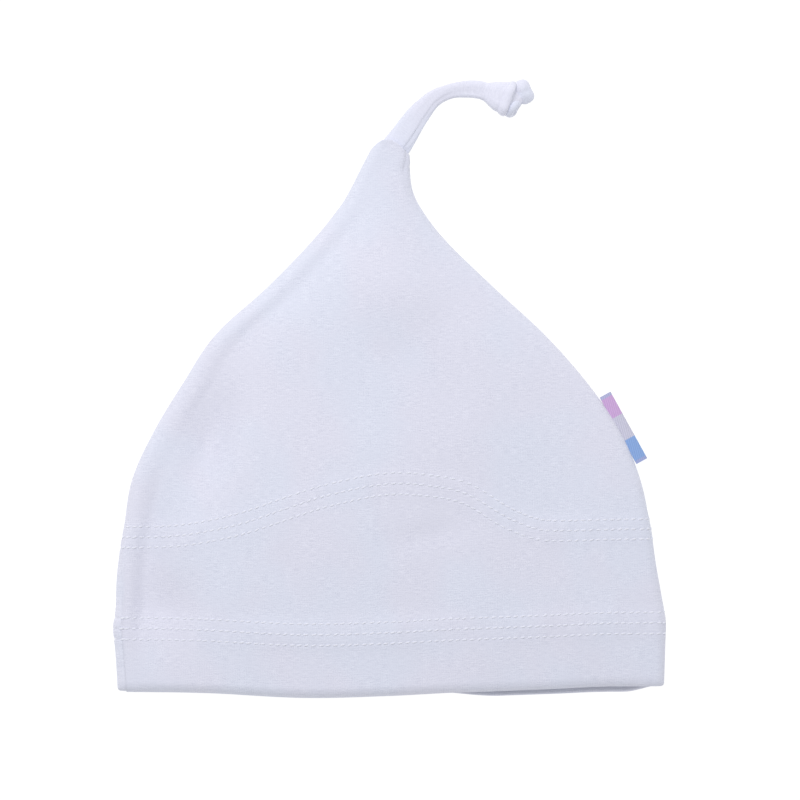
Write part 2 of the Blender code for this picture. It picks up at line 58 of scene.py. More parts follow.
# %% [markdown]
# ## The table, the light and the camera
#
# The photograph looks straight down on a white table, so the camera hangs over the hat and looks
# down with a long lens, which keeps the hat's outline nearly free of perspective. The table is a
# pale plane a hair below the hat. One big soft lamp beyond the tip, a little to the left, gives the
# cloth its faint shading, and a pale, even sky keeps the shadows light, as white walls do in a
# studio. A small lamp would draw every stitch too hard. The Standard view leaves white white.

# %% Table, light and camera
PICTURE_WIDTH = 0.240  # what the photograph's 800 pixels span on the table
PICTURE_CENTRE = (0.00315, -0.00333)  # the place on the table in the middle of the picture
SIDE_HEIGHT = 0.003  # how high above the table that width was measured, at the hat's outline
LENS = 200  # in millimetres, on a sensor 36 mm wide
SENSOR = 36
TABLE_SIDE = 4.0
TABLE_DROP = 0.0003  # the table's surface lies this far below the hat
LAMP_PLACE = Vector((-0.33, 0.88, 1.5))
LAMP_SIDE = 0.9
LAMP_POWER = 15.45
LAMP_COLOUR = (0.993, 0.979, 1.0)
SKY_COLOUR = (0.938, 0.957, 1.0, 1.0)
SKY_STRENGTH = 0.567

scene = bpy.context.scene
scene.view_settings.view_transform = "Standard"


def deselect():
    bpy.ops.object.select_all(action="DESELECT")


def add(name, primitive, **settings):
    """Adds a primitive with nothing else selected, and names it."""
    deselect()
    primitive(**settings)
    bpy.context.object.name = name
    return bpy.context.object


def mm(*lengths):
    """Lengths in millimetres, for print."""
    return [round(1000 * float(length), 2) for length in lengths]


aim = Vector((*PICTURE_CENTRE, 0.0)) - LAMP_PLACE
tilt = aim.to_track_quat("-Z", "Y").to_euler()
lamp = add("window_lamp", bpy.ops.object.light_add, type="AREA", location=LAMP_PLACE, rotation=tilt)
lamp.data.size = LAMP_SIDE
lamp.data.energy = LAMP_POWER
lamp.data.color = LAMP_COLOUR

sky = bpy.data.worlds.new("studio")
sky.use_nodes = True
backdrop = sky.node_tree.nodes["Background"]
backdrop.inputs["Color"].default_value = SKY_COLOUR
backdrop.inputs["Strength"].default_value = SKY_STRENGTH
scene.world = sky

distance = PICTURE_WIDTH * LENS / SENSOR
above = (*PICTURE_CENTRE, SIDE_HEIGHT + distance)
camera = add("camera", bpy.ops.object.camera_add, location=above, rotation=(0, 0, 0))
camera.data.lens = LENS
camera.data.sensor_width = SENSOR
scene.camera = camera

table = add(
    "table", bpy.ops.mesh.primitive_plane_add, size=TABLE_SIDE, location=(0, 0, -TABLE_DROP)
)
print("camera", round(distance, 3), "m above the hat's outline")

# %% [markdown]
# ## Shader recipes
#
# A material is a recipe of nodes. Written out one by one they are hard to read, so two small
# classes do the wiring. The first is `Field`, a number that varies over a surface. Python's own
# operators on it add the Math nodes, so `1 - rib * 0.3` reads as what it does.

# %% Shader helpers
def maths(operation, swapped=False):
    """A method that adds a Math node; swapped makes it an operator's reflected form."""

    def method(field, *others):
        values = (*others, field) if swapped else (field, *others)
        return field.recipe.node("ShaderNodeMath", {"operation": operation}, dict(enumerate(values)))

    return method


class Field:
    """A value that varies over a surface; Python's operators add the Math nodes."""

    def __init__(self, recipe, socket):
        self.recipe = recipe
        self.socket = socket

    __add__ = __radd__ = maths("ADD")
    __mul__ = __rmul__ = maths("MULTIPLY")
    __sub__, __rsub__ = maths("SUBTRACT"), maths("SUBTRACT", swapped=True)
    __truediv__, __rtruediv__ = maths("DIVIDE"), maths("DIVIDE", swapped=True)
    sine, size, fraction = maths("SINE"), maths("ABSOLUTE"), maths("FRACT")

    def wave(self):
        """Up to 1 and down to 0 once in each whole number."""
        return (self * (2 * math.pi)).sine() * 0.5 + 0.5

    def above(self, level, width):
        """0 below a level and 1 above it, with a soft step of that width."""
        return self.recipe.node(
            "ShaderNodeMapRange",
            {"interpolation_type": "SMOOTHSTEP"},
            {"Value": self, "From Min": level - width / 2, "From Max": level + width / 2},
        )


# %% [markdown]
# The second is `Recipe`, which holds the nodes of one material. Its `node` adds any other node by
# its type, sets it, and then feeds its sockets with numbers or links. The methods below it are the
# few nodes that this hat needs more than once.

# %% Recipes
class Recipe:
    """The nodes of one material, with its Principled shader."""

    def __init__(self, name, **constants):
        self.material = bpy.data.materials.new(name)
        self.material.use_nodes = True
        self.nodes = self.material.node_tree.nodes
        self.links = self.material.node_tree.links
        self.shader = self.nodes["Principled BSDF"]
        for socket, value in constants.items():
            self.shader.inputs[socket.replace("_", " ")].default_value = value

    def feed(self, socket, value):
        if isinstance(value, Field):
            self.links.new(value.socket, socket)
        else:
            socket.default_value = value

    def node(self, kind, settings, inputs, output=0):
        made = self.nodes.new(kind)
        for name, value in settings.items():
            setattr(made, name, value)
        for socket, value in inputs.items():
            self.feed(made.inputs[socket], value)
        return Field(self, made.outputs[output])

    def place_on(self, flat_map):
        """Where a point lies on one of the piece's flat maps, across and along it."""
        place = self.node("ShaderNodeUVMap", {"uv_map": flat_map}, {})
        return [self.node("ShaderNodeSeparateXYZ", {}, {0: place}, output=k) for k in (0, 1)]

    def noise(self, across, along, wide, long, detail=2.0):
        """Noise around 0.5 whose spots are so wide and so long on the flat cloth."""
        place = self.node("ShaderNodeCombineXYZ", {}, {0: across / wide, 1: along / long})
        return self.node(
            "ShaderNodeTexNoise", {"noise_dimensions": "2D"},
            {"Vector": place, "Scale": 1.0, "Detail": detail, "Roughness": 0.55},
        )

    def mix(self, share, start, end, blend="MIX"):
        """A colour between two, by a share that varies."""
        settings = {"data_type": "RGBA", "blend_type": blend}
        return self.node("ShaderNodeMix", settings, {0: share, 6: start, 7: end}, output=2)

    def tinted(self, colour, tint):
        return self.mix(1.0, colour, tint, blend="MULTIPLY")

    def bump(self, height, metres):
        """A bump whose full height is so many metres."""
        return self.node("ShaderNodeBump", {}, {"Height": height, "Distance": metres, "Strength": 1.0})

    def finish(self, **fields):
        for socket, value in fields.items():
            self.feed(self.shader.inputs[socket.replace("_", " ")], value)
        return self.material


def shade(colour, light):
    """A colour made lighter or darker, with its alpha."""
    return (*(light * c for c in colour), 1.0)


def coat(piece, material):
    piece.data.materials.clear()
    piece.data.materials.append(material)


# %% [markdown]
# ## The table's finish
#
# A plain matt white. A little light of its own keeps the hat's contact shadow as pale as on a
# photographer's light table.

# %% Table finish
WHITE = (1.0, 1.0, 1.0)
PAPER_TONES = (0.14, 0.16)
PAPER_GLOW = 0.93
PAPER_GRAIN = 900.0  # spots to a metre

paper = Recipe(
    "white_table", Roughness=0.9, Emission_Color=shade(WHITE, 1.0), Emission_Strength=PAPER_GLOW
)
table_place = paper.node("ShaderNodeTexCoord", {}, {}, output="Object")
grain = paper.node("ShaderNodeTexNoise", {}, {"Vector": table_place, "Scale": PAPER_GRAIN})
paper_tone = paper.mix(grain, *(shade(WHITE, tone) for tone in PAPER_TONES))
coat(table, paper.finish(Base_Color=paper_tone))
print("table", TABLE_SIDE, "m wide, its glow", PAPER_GLOW)

# %% [markdown]
# ## Cotton interlock
# The tone is darker where these patterns sink the cloth: painted shade, on top of the yarn's own
# unevenness.
#
# Interlock shows the same face on both sides: fine upright ribs, each a stack of small V-shaped
# loops. At this size a loop is thinner than a pixel of the photograph, so it is made by a bump and
# not by geometry. The ribs are a sine across the flat cloth. The loops are a second sine along it,
# slanted to the left and right of each rib's middle, which makes the V. Soft noise moves the ribs a
# little, and long thin streaks of noise stand for the uneven yarn of each course.
#
# The pattern reads the piece's own map of the flat cloth, in metres, so it follows every fold.

# %% Cotton
WALE = 0.00070  # from one rib to the next
COURSE = 0.00056  # from one loop to the next along a rib
WANDER = 0.6  # by how much of a rib or loop the knit strays from its lines
DARK_YARN = (0.635, 0.650, 0.752)
LIGHT_YARN = (0.890, 0.902, 0.985)
CONTRAST = 1.35
KNIT_DEPTH = 0.00007
KNIT_TONE, YARN_TONE, FUZZ_TONE = 0.06, 0.48, 0.46  # how much each pattern counts in the tone
KNIT_RELIEF, YARN_RELIEF, FUZZ_RELIEF = 0.25, 0.8, 0.5  # and in the relief
WARM_TINT = (1.009, 0.993, 0.997, 1.0)
COOL_TINT = (0.989, 1.001, 1.008, 1.0)

# How wide and how long the spots of each noise are on the flat cloth
STRAY_SPOT = (0.004, 0.006)
YARN_SPOT = (0.0024, 0.00034)
FUZZ_SPOT = (0.00036, 0.00036)
PATCH_SPOT = (0.0090, 0.0060)
TINT_SPOT = (0.030, 0.035)


def cotton(name, light, contrast=CONTRAST):
    """White interlock; light makes one piece a touch lighter or darker than another, as painted light.
    """
    recipe = Recipe(name, Roughness=0.9, Sheen_Weight=0.2, Sheen_Roughness=0.5)
    across, along = recipe.place_on("cloth")
    stray = (recipe.noise(across, along, *STRAY_SPOT) - 0.5) * WANDER
    ribs = across / WALE + stray
    rib = (ribs * math.pi).sine().size()
    slant = (ribs.fraction() - 0.5).size()
    loop = (along / COURSE + slant + stray).wave()
    knit = rib * (loop * 0.5 + 0.5)
    yarn = recipe.noise(across, along, *YARN_SPOT)
    fuzz = recipe.noise(across, along, *FUZZ_SPOT, detail=1.0)
    patchy = recipe.noise(across, along, *PATCH_SPOT).above(0.5, 0.25)
    # Painted shade: the tone is darker where the same patterns sink the relief, most in the knit's gaps
    # between ribs and loops. In the yarn and fuzz it is also the yarn's own unevenness.
    pattern = knit * KNIT_TONE + yarn * YARN_TONE + fuzz * FUZZ_TONE
    strength = (patchy * 0.6 + 0.65) * contrast  # stronger in some patches than in others
    tone = (pattern - 0.5) * strength + 0.5
    colour = recipe.mix(tone, shade(DARK_YARN, light), shade(LIGHT_YARN, light))
    tint_share = recipe.noise(across, along, *TINT_SPOT).above(0.5, 0.3)
    colour = recipe.tinted(colour, recipe.mix(tint_share, WARM_TINT, COOL_TINT))
    relief = knit * KNIT_RELIEF + yarn * YARN_RELIEF + fuzz * FUZZ_RELIEF
    return recipe.finish(Base_Color=colour, Normal=recipe.bump(relief, KNIT_DEPTH))


# Painted light: lit and shaded copies of one cotton, lighter towards the tip and darkest at the hem.
crown_cotton = cotton("crown_interlock", 1.02)
tail_cotton = cotton("tail_interlock", 1.06, 0.8)
brow_cotton = cotton("brow_interlock", 1.016)
hem_cotton = cotton("hem_interlock", 1.004)
print("cotton ribs", mm(WALE), "mm apart")

# %% [markdown]
# ## The form of the hat
#
# All the panels share one form, so it is written once. A place on the hat is given by how far up
# from the mouth it is, and by `around`: -1 to 1 across the flat of a panel, and on to -2 or 2 down
# the half-round fold at its side. First come its sizes, in metres.

# %% Sizes
HEM_WIDTH = 0.1648
HEM_DEPTH = 0.0188
BROW_DEPTH = 0.0278
ARCH_RISE = 0.0157
SEAM_TILT = 0.0018
CROWN_HEIGHT = 0.1190
PUFF = 0.0085
HEM_WAVE = 0.0029
BACK_PEEK = 0.0022
CLOTH = 0.0010
HEM_CLOTH = 0.0020
FOLD_HOLLOW = 0.0010
TAIL_WIDTH = 0.0078
TAIL_FIT = 0.0003

HALF_WIDTH = HEM_WIDTH / 2
TIP_HALF = TAIL_WIDTH / 2 + TAIL_FIT + CLOTH
TIP_DIP = 0.0042  # from the rim's level down to its right corner, beside the tail
FOLD_RADIUS = HEM_CLOTH + FOLD_HOLLOW
SIDE_SEAM_LEVEL = HEM_DEPTH + BROW_DEPTH
TIP = SIDE_SEAM_LEVEL + CROWN_HEIGHT
DOME_EASE = 0.06
RELIEF_EDGE = 0.0060  # over which the dents fade out towards a side fold
WAVE_FADE = 2.0
PEEK_START = 0.10
FRONT_OVERHANG = 0.0003
PEEK_RAMP = 0.30
SLOPE_STEPS = 60
print("hat", mm(HEM_WIDTH, TIP), "mm, its front", mm(PUFF), "mm over its sides")

# %% [markdown]
# The tables say how the hat's shape changes along it, in shares of those sizes. `BODY` and `HEM`
# give, from the mouth up, how far out the left and right sides are, how high the front stands and
# how far the left side seam is rolled to the front. The next three say how the arched seam climbs,
# how the mouth's edge wanders and how the tip's rim slants, from left to right. `DENTS` are soft
# hollows and ridges, each with its place, its size, its turn in degrees and its height. The packed
# solids are built from tables like these. Theirs have other values at the arched seam's right slope,
# at both ends of the sides, in the dents and where the tail comes out, and none for the tip's rim.

# %% Tables
def table_of(columns, *rows):
    """Rows of numbers whose columns can be read by name."""
    row_kind = namedtuple("TableRow", columns)
    return [row_kind(*row) for row in rows]


BODY = table_of(
    "along left right puff turn",
    (0.000, 1.007, 1.007, 0.86, 0.90),
    (0.035, 0.998, 0.997, 0.88, 0.84),
    (0.116, 0.991, 0.971, 0.95, 0.66),
    (0.214, 0.964, 0.944, 1.00, 0.04),
    (0.312, 0.932, 0.906, 1.00, 0.00),
    (0.411, 0.846, 0.827, 0.98, 0.00),
    (0.509, 0.733, 0.700, 0.94, 0.00),
    (0.607, 0.608, 0.535, 0.86, 0.00),
    (0.705, 0.404, 0.334, 0.72, 0.00),
    (0.804, 0.223, 0.142, 0.50, 0.00),
    (0.870, 0.123, 0.049, 0.30, 0.00),
    (0.905, 0.083, 0.021, 0.19, 0.00),
    (0.945, 0.045, 0.012, 0.08, 0.00),
    (1.000, -0.010, 0.008, 0.00, 0.00),
)
HEM = table_of(
    "along left right puff turn",
    (0.0, 0.989, 1.000, 0.74, 0.92),
    (0.5, 0.996, 1.004, 0.79, 0.90),
    (1.0, 1.007, 1.007, 0.86, 0.90),
)
ARCH = table_of(
    "across rise",
    (-1.00, 0.00), (-0.83, 0.01), (-0.70, 0.09), (-0.55, 0.27),
    (-0.37, 0.585), (-0.22, 0.81), (0.00, 1.00), (0.16, 0.96),
    (0.31, 0.78), (0.46, 0.29), (0.57, 0.05), (0.68, 0.00),
    (0.82, 0.00), (1.00, 0.00),
)
WAVE = table_of(
    "across rise",
    (-1.00, 0.34), (-0.69, 0.25), (-0.33, -0.19), (0.00, 0.03),
    (0.22, 0.35), (0.40, 0.52), (0.62, 0.73), (0.80, 0.93),
    (1.00, 0.93),
)
TIP_RIM = table_of(
    "across rise",
    (-1.00, -0.50), (-0.84, -0.10), (-0.60, 0.11), (-0.38, 0.14),
    (0.00, 0.10), (0.40, -0.19), (0.74, -0.57), (1.00, -0.84),
)
DENTS = table_of(
    "across along long wide turn height",
    (-0.650, 0.458, 0.140, 0.065, 16, -0.540),
    (-0.545, 0.645, 0.130, 0.055, 37, -0.110),
    (-0.355, 0.740, 0.130, 0.050, 46, -0.095),
    (-0.880, 0.290, 0.160, 0.060, 6, -0.270),
    (0.005, 0.730, 0.110, 0.125, 0, 0.200),
    (0.155, 0.780, 0.130, 0.055, -30, -0.090),
    (-0.225, 0.830, 0.120, 0.050, 46, -0.110),
    (0.010, 0.615, 0.060, 0.055, 0, -0.060),
    (0.560, 0.415, 0.200, 0.150, 0, -0.080),
    (0.110, 0.435, 0.250, 0.110, 80, 0.090),
    (0.145, 0.287, 0.100, 0.034, 80, -0.060),
    (-0.840, 0.150, 0.100, 0.110, 0, -0.340),
)

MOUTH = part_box("hem_front")[0].y - HEM_WAVE * min(row.rise for row in WAVE)
print("mouth line and tip at", mm(MOUTH, MOUTH + TIP), "mm along the table")

# %% [markdown]
# The tables are read with a smooth curve through their rows. Everything works on whole arrays of
# places at once, which keeps a panel of thirty thousand corners quick to make.

# %% Reading the tables
def read_table(rows, column, place):
    """One column of a table at the places asked for, smoothly between its rows."""
    at = np.array([row[0] for row in rows])
    value = np.array([getattr(row, column) for row in rows])
    slope = np.empty(len(rows))
    slope[1:-1] = (value[2:] - value[:-2]) / (at[2:] - at[:-2])
    slope[0] = (value[1] - value[0]) / (at[1] - at[0])
    slope[-1] = (value[-1] - value[-2]) / (at[-1] - at[-2])
    place = np.clip(place, at[0], at[-1])
    k = np.clip(np.searchsorted(at, place, side="right") - 1, 0, len(rows) - 2)
    span = at[k + 1] - at[k]
    t = (place - at[k]) / span
    from_start = value[k] * (1 + 2 * t) * (1 - t) ** 2 + slope[k] * span * t * (1 - t) ** 2
    from_end = value[k + 1] * t * t * (3 - 2 * t) + slope[k + 1] * span * t * t * (t - 1)
    return from_start + from_end


def ease(share):
    """0 to 1 with a soft start and end."""
    share = np.clip(share, 0.0, 1.0)
    return share * share * (3 - 2 * share)


def bell(distance, reach):
    """1 at no distance, falling softly to nothing past the reach."""
    return np.exp(-((distance / reach) ** 2))


print("rise of the arched seam half way out:", np.round(read_table(ARCH, "rise", [-0.5, 0.5]), 2))

# %% [markdown]
# How wide the hat is decides where everything on it lies. Its side folds are half round, and where
# an edge slants the same fold is wider when it is measured straight across.

# %% The hat's width
def section(s):
    """The hat's left edge, right edge, puff and seam turn at a way up from the mouth."""
    in_hem, in_body = s / HEM_DEPTH, (s - HEM_DEPTH) / (TIP - HEM_DEPTH)
    left, right, puff, turn = (
        np.where(s < HEM_DEPTH, read_table(HEM, c, in_hem), read_table(BODY, c, in_body))
        for c in ("left", "right", "puff", "turn")
    )
    spread = HALF_WIDTH - TIP_HALF
    return -TIP_HALF - left * spread, TIP_HALF + right * spread, puff * PUFF, turn * math.pi / 2


def fold_width(s, side):
    """How wide a side fold is across the hat, at a slanting edge wider than its radius."""
    step = (TIP - HEM_DEPTH) / SLOPE_STEPS
    low = np.maximum(s - step, HEM_DEPTH + step)
    high = np.minimum(np.maximum(s, HEM_DEPTH + step) + step, TIP)
    run = section(high)[side] - section(low)[side]
    return FOLD_RADIUS * np.hypot(1.0, run / (high - low))


def across_at(around, s):
    """Where a place lies across the hat, from -1 at its left edge to 1 at its right."""
    left, right = section(s)[:2]
    half = (right - left) / 2
    left_fold, right_fold = fold_width(s, 0) / half, fold_width(s, 1) / half
    flat = (left_fold - right_fold + around * (2 - left_fold - right_fold)) / 2
    fold = 1 - np.sin(math.pi / 2 * np.clip(np.abs(around) - 1, 0, 1))
    on_fold = np.where(around > 0, 1 - right_fold * fold, -1 + left_fold * fold)
    return np.where(np.abs(around) > 1, on_fold, flat)


heights = np.linspace(0, TIP, 6)
print("half widths up the hat:", mm(*section(heights)[1]), "mm")

# %% [markdown]
# Each seam and each edge is a function of the place across the hat, so that the panels on both its
# sides meet in the same line.

# %% Seams, edges and dents
def straight_seam(across):
    return SIDE_SEAM_LEVEL + SEAM_TILT * (1 + across) / 2


def arch_seam(across):
    return straight_seam(across) + ARCH_RISE * read_table(ARCH, "rise", across)


def hem_seam(across):
    return HEM_DEPTH + 0 * across


def mouth_front(across):
    return 0 * across - FRONT_OVERHANG


def mouth_back(across):
    out = ease((across - PEEK_START) / PEEK_RAMP)
    back = ease(2 * (1 - across) / PEEK_RAMP)
    return -BACK_PEEK * out * back


def tip_edge(across):
    return TIP + TIP_DIP * read_table(TIP_RIM, "rise", across)


def wander(across, s):
    """How far the lower part of the hat is pushed up or down the table with the mouth's edge."""
    fade = ease((s - HEM_DEPTH) / (WAVE_FADE * BROW_DEPTH))
    return HEM_WAVE * read_table(WAVE, "rise", across) * (1 - fade)


def lean_bell(dx, ds, wide, long, turn):
    """1 at a dent's middle, falling away over its width and, leaning by its turn, its length."""
    lean = math.radians(turn)
    over = (dx * math.cos(lean) - ds * math.sin(lean)) / wide
    up = (dx * math.sin(lean) + ds * math.cos(lean)) / long
    return np.exp(-(over**2 + up**2) / 2)


def relief(x, s, room):
    """Height of the soft dents and ridges of the front; room is how far it is to a side fold."""
    total = 0.0
    for dent in DENTS:
        dx, ds = x - dent.across * HALF_WIDTH, s - dent.along * TIP
        wide, long = dent.wide * HALF_WIDTH, dent.long * HALF_WIDTH
        total = total + dent.height * PUFF * lean_bell(dx, ds, wide, long, dent.turn)
    return total * ease(room / RELIEF_EDGE)


print("arched seam", mm(arch_seam(0.0)), "mm up the middle of the hat")

# %% [markdown]
# ## What the sewing does to the cloth
#
# The seams are sewn with three rows of stitches, 3.2 mm apart. The allowance underneath lifts the
# cloth into a low ridge, each row of thread pulls a narrow groove into it, and the tension puckers
# the cloth close by. All of this is geometry, because it is what catches the light. A ridge and
# its puckers stand up, so they fade out over the side folds towards the table. A groove sinks in,
# so the back has it too.

# %% Sizes of the sewing
SEAM_WIDTH = 0.0064
SEAM_RIDGE = 0.0002
RIDGE_FLAT = 0.6
RIDGE_FOOT = 2.0
SEAM_GAP = 0.00002  # the panels' edges all but touch
ROWS_OF_STITCHES = (-SEAM_WIDTH / 2, 0.0, SEAM_WIDTH / 2)
STITCH_PITCH = 0.00215
GROOVE = 0.00003  # depth of a row's groove under its stitches
NEEDLE_HOLE = 0.00007  # how much deeper it is where the thread goes in
HOLE_POWER = 8  # how closely a needle hole keeps to its place between two stitches
BACK_GROOVE = 0.00024
GROOVE_REACH = 0.00042
SIDE_TUCK = 0.00004  # how deep the cloth dips into the side seams
SIDE_TUCK_REACH = 0.00045
PUCKER = 0.00018
PUCKER_REACH = 0.0075
SLACK = 0.00045
SLACK_EDGE = 0.0196  # over which the slack's waves fade out towards a side
SLACK_TAKEN = 0.6  # how much of the slack a seam takes up
SLOPE_STEP = 0.002  # share of the half width over which a seam's slope is read
WAY_REACH = 1.2  # how far out a seam's length is measured, past the hat's sides at 1
WAY_SAMPLES = 961

GATHERS = table_of(
    "x s wide long turn height",
    (0.0043, 0.1613, 0.00040, 0.0022, 4, 0.00018),  # two strands at the tip's right
    (0.0057, 0.1590, 0.00040, 0.0030, 3, 0.00020),
    (0.0050, 0.1603, 0.00034, 0.0030, 4, -0.00024),
    (0.0047, 0.1572, 0.00120, 0.0013, 0, -0.00068),  # the dimple below them
    (0.0062, 0.1597, 0.00050, 0.0010, 0, 0.00040),
    (0.0028, 0.1580, 0.00070, 0.0040, -6, 0.00008),
)
RIPPLE = "share across along seed"
PUCKERS = table_of(RIPPLE, (1.0, 0.0034, 0.009, 3.1), (0.6, 0.0075, 0.010, 8.7))
SLACK_WAVES = table_of(RIPPLE, (1.0, 0.026, 0.034, 1.7), (0.45, 0.011, 0.014, 5.3))
print("stitch rows at", mm(*ROWS_OF_STITCHES), "mm from each seam")

# %% [markdown]
# `sewing` adds all this up for any places on the hat's outside. A seam isn't straight, so it works
# with how far a place lies from the seam, squarely, and with how many stitches of the seam lie
# between that place and the hat's middle line. The needle holes then fall between the stitches.

# %% Ridges, grooves and puckers
def waves(x, y, ripples):
    """Smooth random waves, about -0.5 to 0.5, as long across and along as each row says."""
    total = 0.0
    for r in ripples:
        wave = [noise.noise((a / r.across, b / r.along, r.seed)) for a, b in zip(x, y)]
        total = total + r.share * np.array(wave)
    return total


def seam_slope(seam, across, half):
    ahead, behind = np.clip(across + SLOPE_STEP, -1, 1), np.clip(across - SLOPE_STEP, -1, 1)
    return (seam(ahead) - seam(behind)) / (2 * SLOPE_STEP * half)


def stitch_count(seam, cloth_x):
    """How many stitches of a seam lie between the hat's middle line and places on the flat cloth."""
    across = np.linspace(-WAY_REACH, WAY_REACH, WAY_SAMPLES)
    rise = seam(np.clip(across, -1, 1)) / HALF_WIDTH
    way = np.concatenate([[0.0], np.cumsum(np.hypot(np.diff(across), np.diff(rise)))])
    way = (way - np.interp(0, across, way)) * HALF_WIDTH
    return np.interp(cloth_x / HALF_WIDTH, across, way) / STITCH_PITCH


def beside_seam(seam, across, cloth_x, s, half):
    """How far a place lies from a seam, squarely, and the stitch that it lies beside."""
    slope = seam_slope(seam, across, half)
    steep = np.hypot(1.0, slope)
    off = (s - seam(across)) / steep
    return off, stitch_count(seam, cloth_x + off * slope / steep)


def sewing(front, x, cloth_x, s, across, half):
    """What the seams and the slack of the cloth raise and sink at places on its outside."""
    upper_seam = arch_seam if front else straight_seam
    beside = [beside_seam(seam, across, cloth_x, s, half) for seam in (hem_seam, upper_seam)]
    nearest = np.minimum(np.abs(beside[0][0]), np.abs(beside[1][0]))
    reach = SEAM_WIDTH / 2
    ridge = SEAM_RIDGE * ease((RIDGE_FOOT * reach - nearest) / ((RIDGE_FOOT - RIDGE_FLAT) * reach))
    sunk = 0.0
    for off, stitches in beside:
        hole = np.cos(math.pi * stitches) ** HOLE_POWER
        depth = GROOVE + NEEDLE_HOLE * hole if front else BACK_GROOVE
        for row in ROWS_OF_STITCHES:
            sunk = sunk + depth * bell(off - row, GROOVE_REACH)
    pull = ease(1 - nearest / PUCKER_REACH)
    pucker = PUCKER * pull * waves(x, s, PUCKERS)
    slack = SLACK * waves(x, s, SLACK_WAVES) * (1 - SLACK_TAKEN * pull)
    calm = ease((1 - np.abs(across)) * half / SLACK_EDGE)
    raised = ridge + pucker + slack * calm
    if front:
        for g in GATHERS:
            raised = raised + g.height * lean_bell(x - g.x, s - g.s, g.wide, g.long, g.turn)
    return raised, sunk


# %% [markdown]
# ## Points on the hat
#
# This is the one function that puts cloth in place. Between the side folds the back lies on the
# table, and the front stands up over it in a low dome. A fold is a half-round roll. A point can be
# on the outside of the cloth or any depth below it, which is how a panel gets its thickness. It
# also says where the point lies on the flat cloth, for the knit. The dome's slope runs on over the
# folds, so that no shelf shows beside them, and the front of the mouth droops a little at its edge.

# %% Points on the hat
MOUTH_DROOP = 0.0023  # how much lower the front's last stretch of cloth ends
SIDE_DROOP = 0.0013  # the same at the hat's sides, where the back is close below
DROOP_REACH = 0.0022
DROOP_LOSS = 0.4  # by what share it is shallower on the right
DROOP_RAMP = 0.4  # and over what share across it gets so
TIP_CURL = 0.0003  # how much the tip's edge curls up
CURL_REACH = 0.0012


def on_hat(front, around, s, depth, cloth):
    """Places on the hat, and where they lie on the flat cloth."""
    left, right, puff, turn = section(s)
    left_fold, right_fold = fold_width(s, 0), fold_width(s, 1)
    share = np.clip(around, -1, 1)
    fold = np.clip(np.abs(around) - 1, 0, 1)
    side = np.where(around > 0, 1.0, -1.0)
    across = across_at(around, s)
    up = 1 if front else -1
    seam = np.where(around < 0, turn, 0.0) + up * SEAM_GAP / 2 / FOLD_RADIUS
    angle = up * math.pi / 2 * (1 - fold) + seam * fold
    half, middle = (right - left) / 2, (left + left_fold + right - right_fold) / 2
    half_flat = (right - right_fold - left - left_fold) / 2
    flat_x = middle + share * half_flat
    width = np.where(around > 0, right_fold, left_fold)
    cloth_x = flat_x + side * fold * width * math.pi / 2
    raised, sunk = sewing(front, (left + right) / 2 + across * half, cloth_x, s, across, half)
    to_side_seam = FOLD_RADIUS * np.abs(angle - seam) + (1 - np.abs(share)) * half_flat
    sunk = sunk + SIDE_TUCK * bell(to_side_seam, SIDE_TUCK_REACH)
    to_front = (1 + np.sin(angle)) / 2
    lift = (raised * to_front - sunk) * (1 - depth / cloth)

    from_middle = np.where(fold > 0, 1 - width * (1 - np.cos(angle)) / half, across)
    swell = puff * to_front * (1 - from_middle**2) / (1 + DOME_EASE)
    on_top = np.clip(np.sin(angle), 0, 1)
    shallower = DROOP_LOSS * ease(across / DROOP_RAMP)
    deepest = np.minimum(MOUTH_DROOP, SIDE_DROOP + swell / 2) * (1 - shallower)
    droop = deepest * np.clip(1 - s / DROOP_REACH, 0, 1) ** 2
    curl = TIP_CURL * np.clip(1 - (tip_edge(across) - s) / CURL_REACH, 0, 1) ** 2
    roll = FOLD_RADIUS - depth + lift
    in_from_edge = (FOLD_RADIUS - roll * np.cos(angle)) * width / FOLD_RADIUS
    fold_x = np.where(around > 0, right - in_from_edge, left + in_from_edge)
    flat_z = FOLD_RADIUS + up * roll
    if front:
        flat_z = flat_z + relief(flat_x, s, (1 - np.abs(share)) * half_flat)
    x = np.where(fold > 0, fold_x, flat_x)
    y = MOUTH + s + wander(np.where(fold > 0, side, share), s)
    z = np.where(fold > 0, FOLD_RADIUS + roll * np.sin(angle), flat_z) + swell + (curl - droop) * on_top
    return np.column_stack([x, y, z]), np.column_stack([cloth_x, s])


top = on_hat(True, np.array([0.0]), np.array([TIP / 3]), np.array([0.0]), CLOTH)[0][0]
print("front a third of the way up stands", mm(top[2]), "mm high")

# %% [markdown]
# ## Corners and maps
#
# A panel's corners are read and moved all at once, as one array of places. Its map of the flat
# cloth is a UV map in metres, and it is smooth but for its cut edges.

# %% Corners and maps
SHARP = math.radians(50)


def select_only(piece):
    deselect()
    piece.select_set(True)
    bpy.context.view_layer.objects.active = piece


def smooth(piece):
    """Smooth shading, except at sharp edges, where a face would borrow its neighbour's tilt."""
    select_only(piece)
    bpy.ops.object.shade_smooth_by_angle(angle=SHARP)


def corners(piece):
    places = np.empty(3 * len(piece.data.vertices))
    piece.data.vertices.foreach_get("co", places)
    return places.reshape(-1, 3)


def move_corners(piece, places):
    piece.data.vertices.foreach_set("co", np.ascontiguousarray(places, float).ravel())
    piece.data.update()


def map_cloth(piece, flat):
    """Gives a piece its map of the flat cloth, in metres, from a place for each corner."""
    layers = piece.data.uv_layers
    layer = layers[0] if layers else layers.new()
    layer.name = "cloth"
    corner_of = np.empty(len(piece.data.loops), int)
    piece.data.loops.foreach_get("vertex_index", corner_of)
    layer.data.foreach_set("uv", flat[corner_of].ravel())


# %% [markdown]
# ## Rows and columns of a panel
#
# The columns run round the hat from one side seam to the other, close together where a fold meets
# its seam. The rows are close together beside the seams, where the grooves are, and further apart
# in between. The mouth's and the tip's rows go round the edge of the cloth.

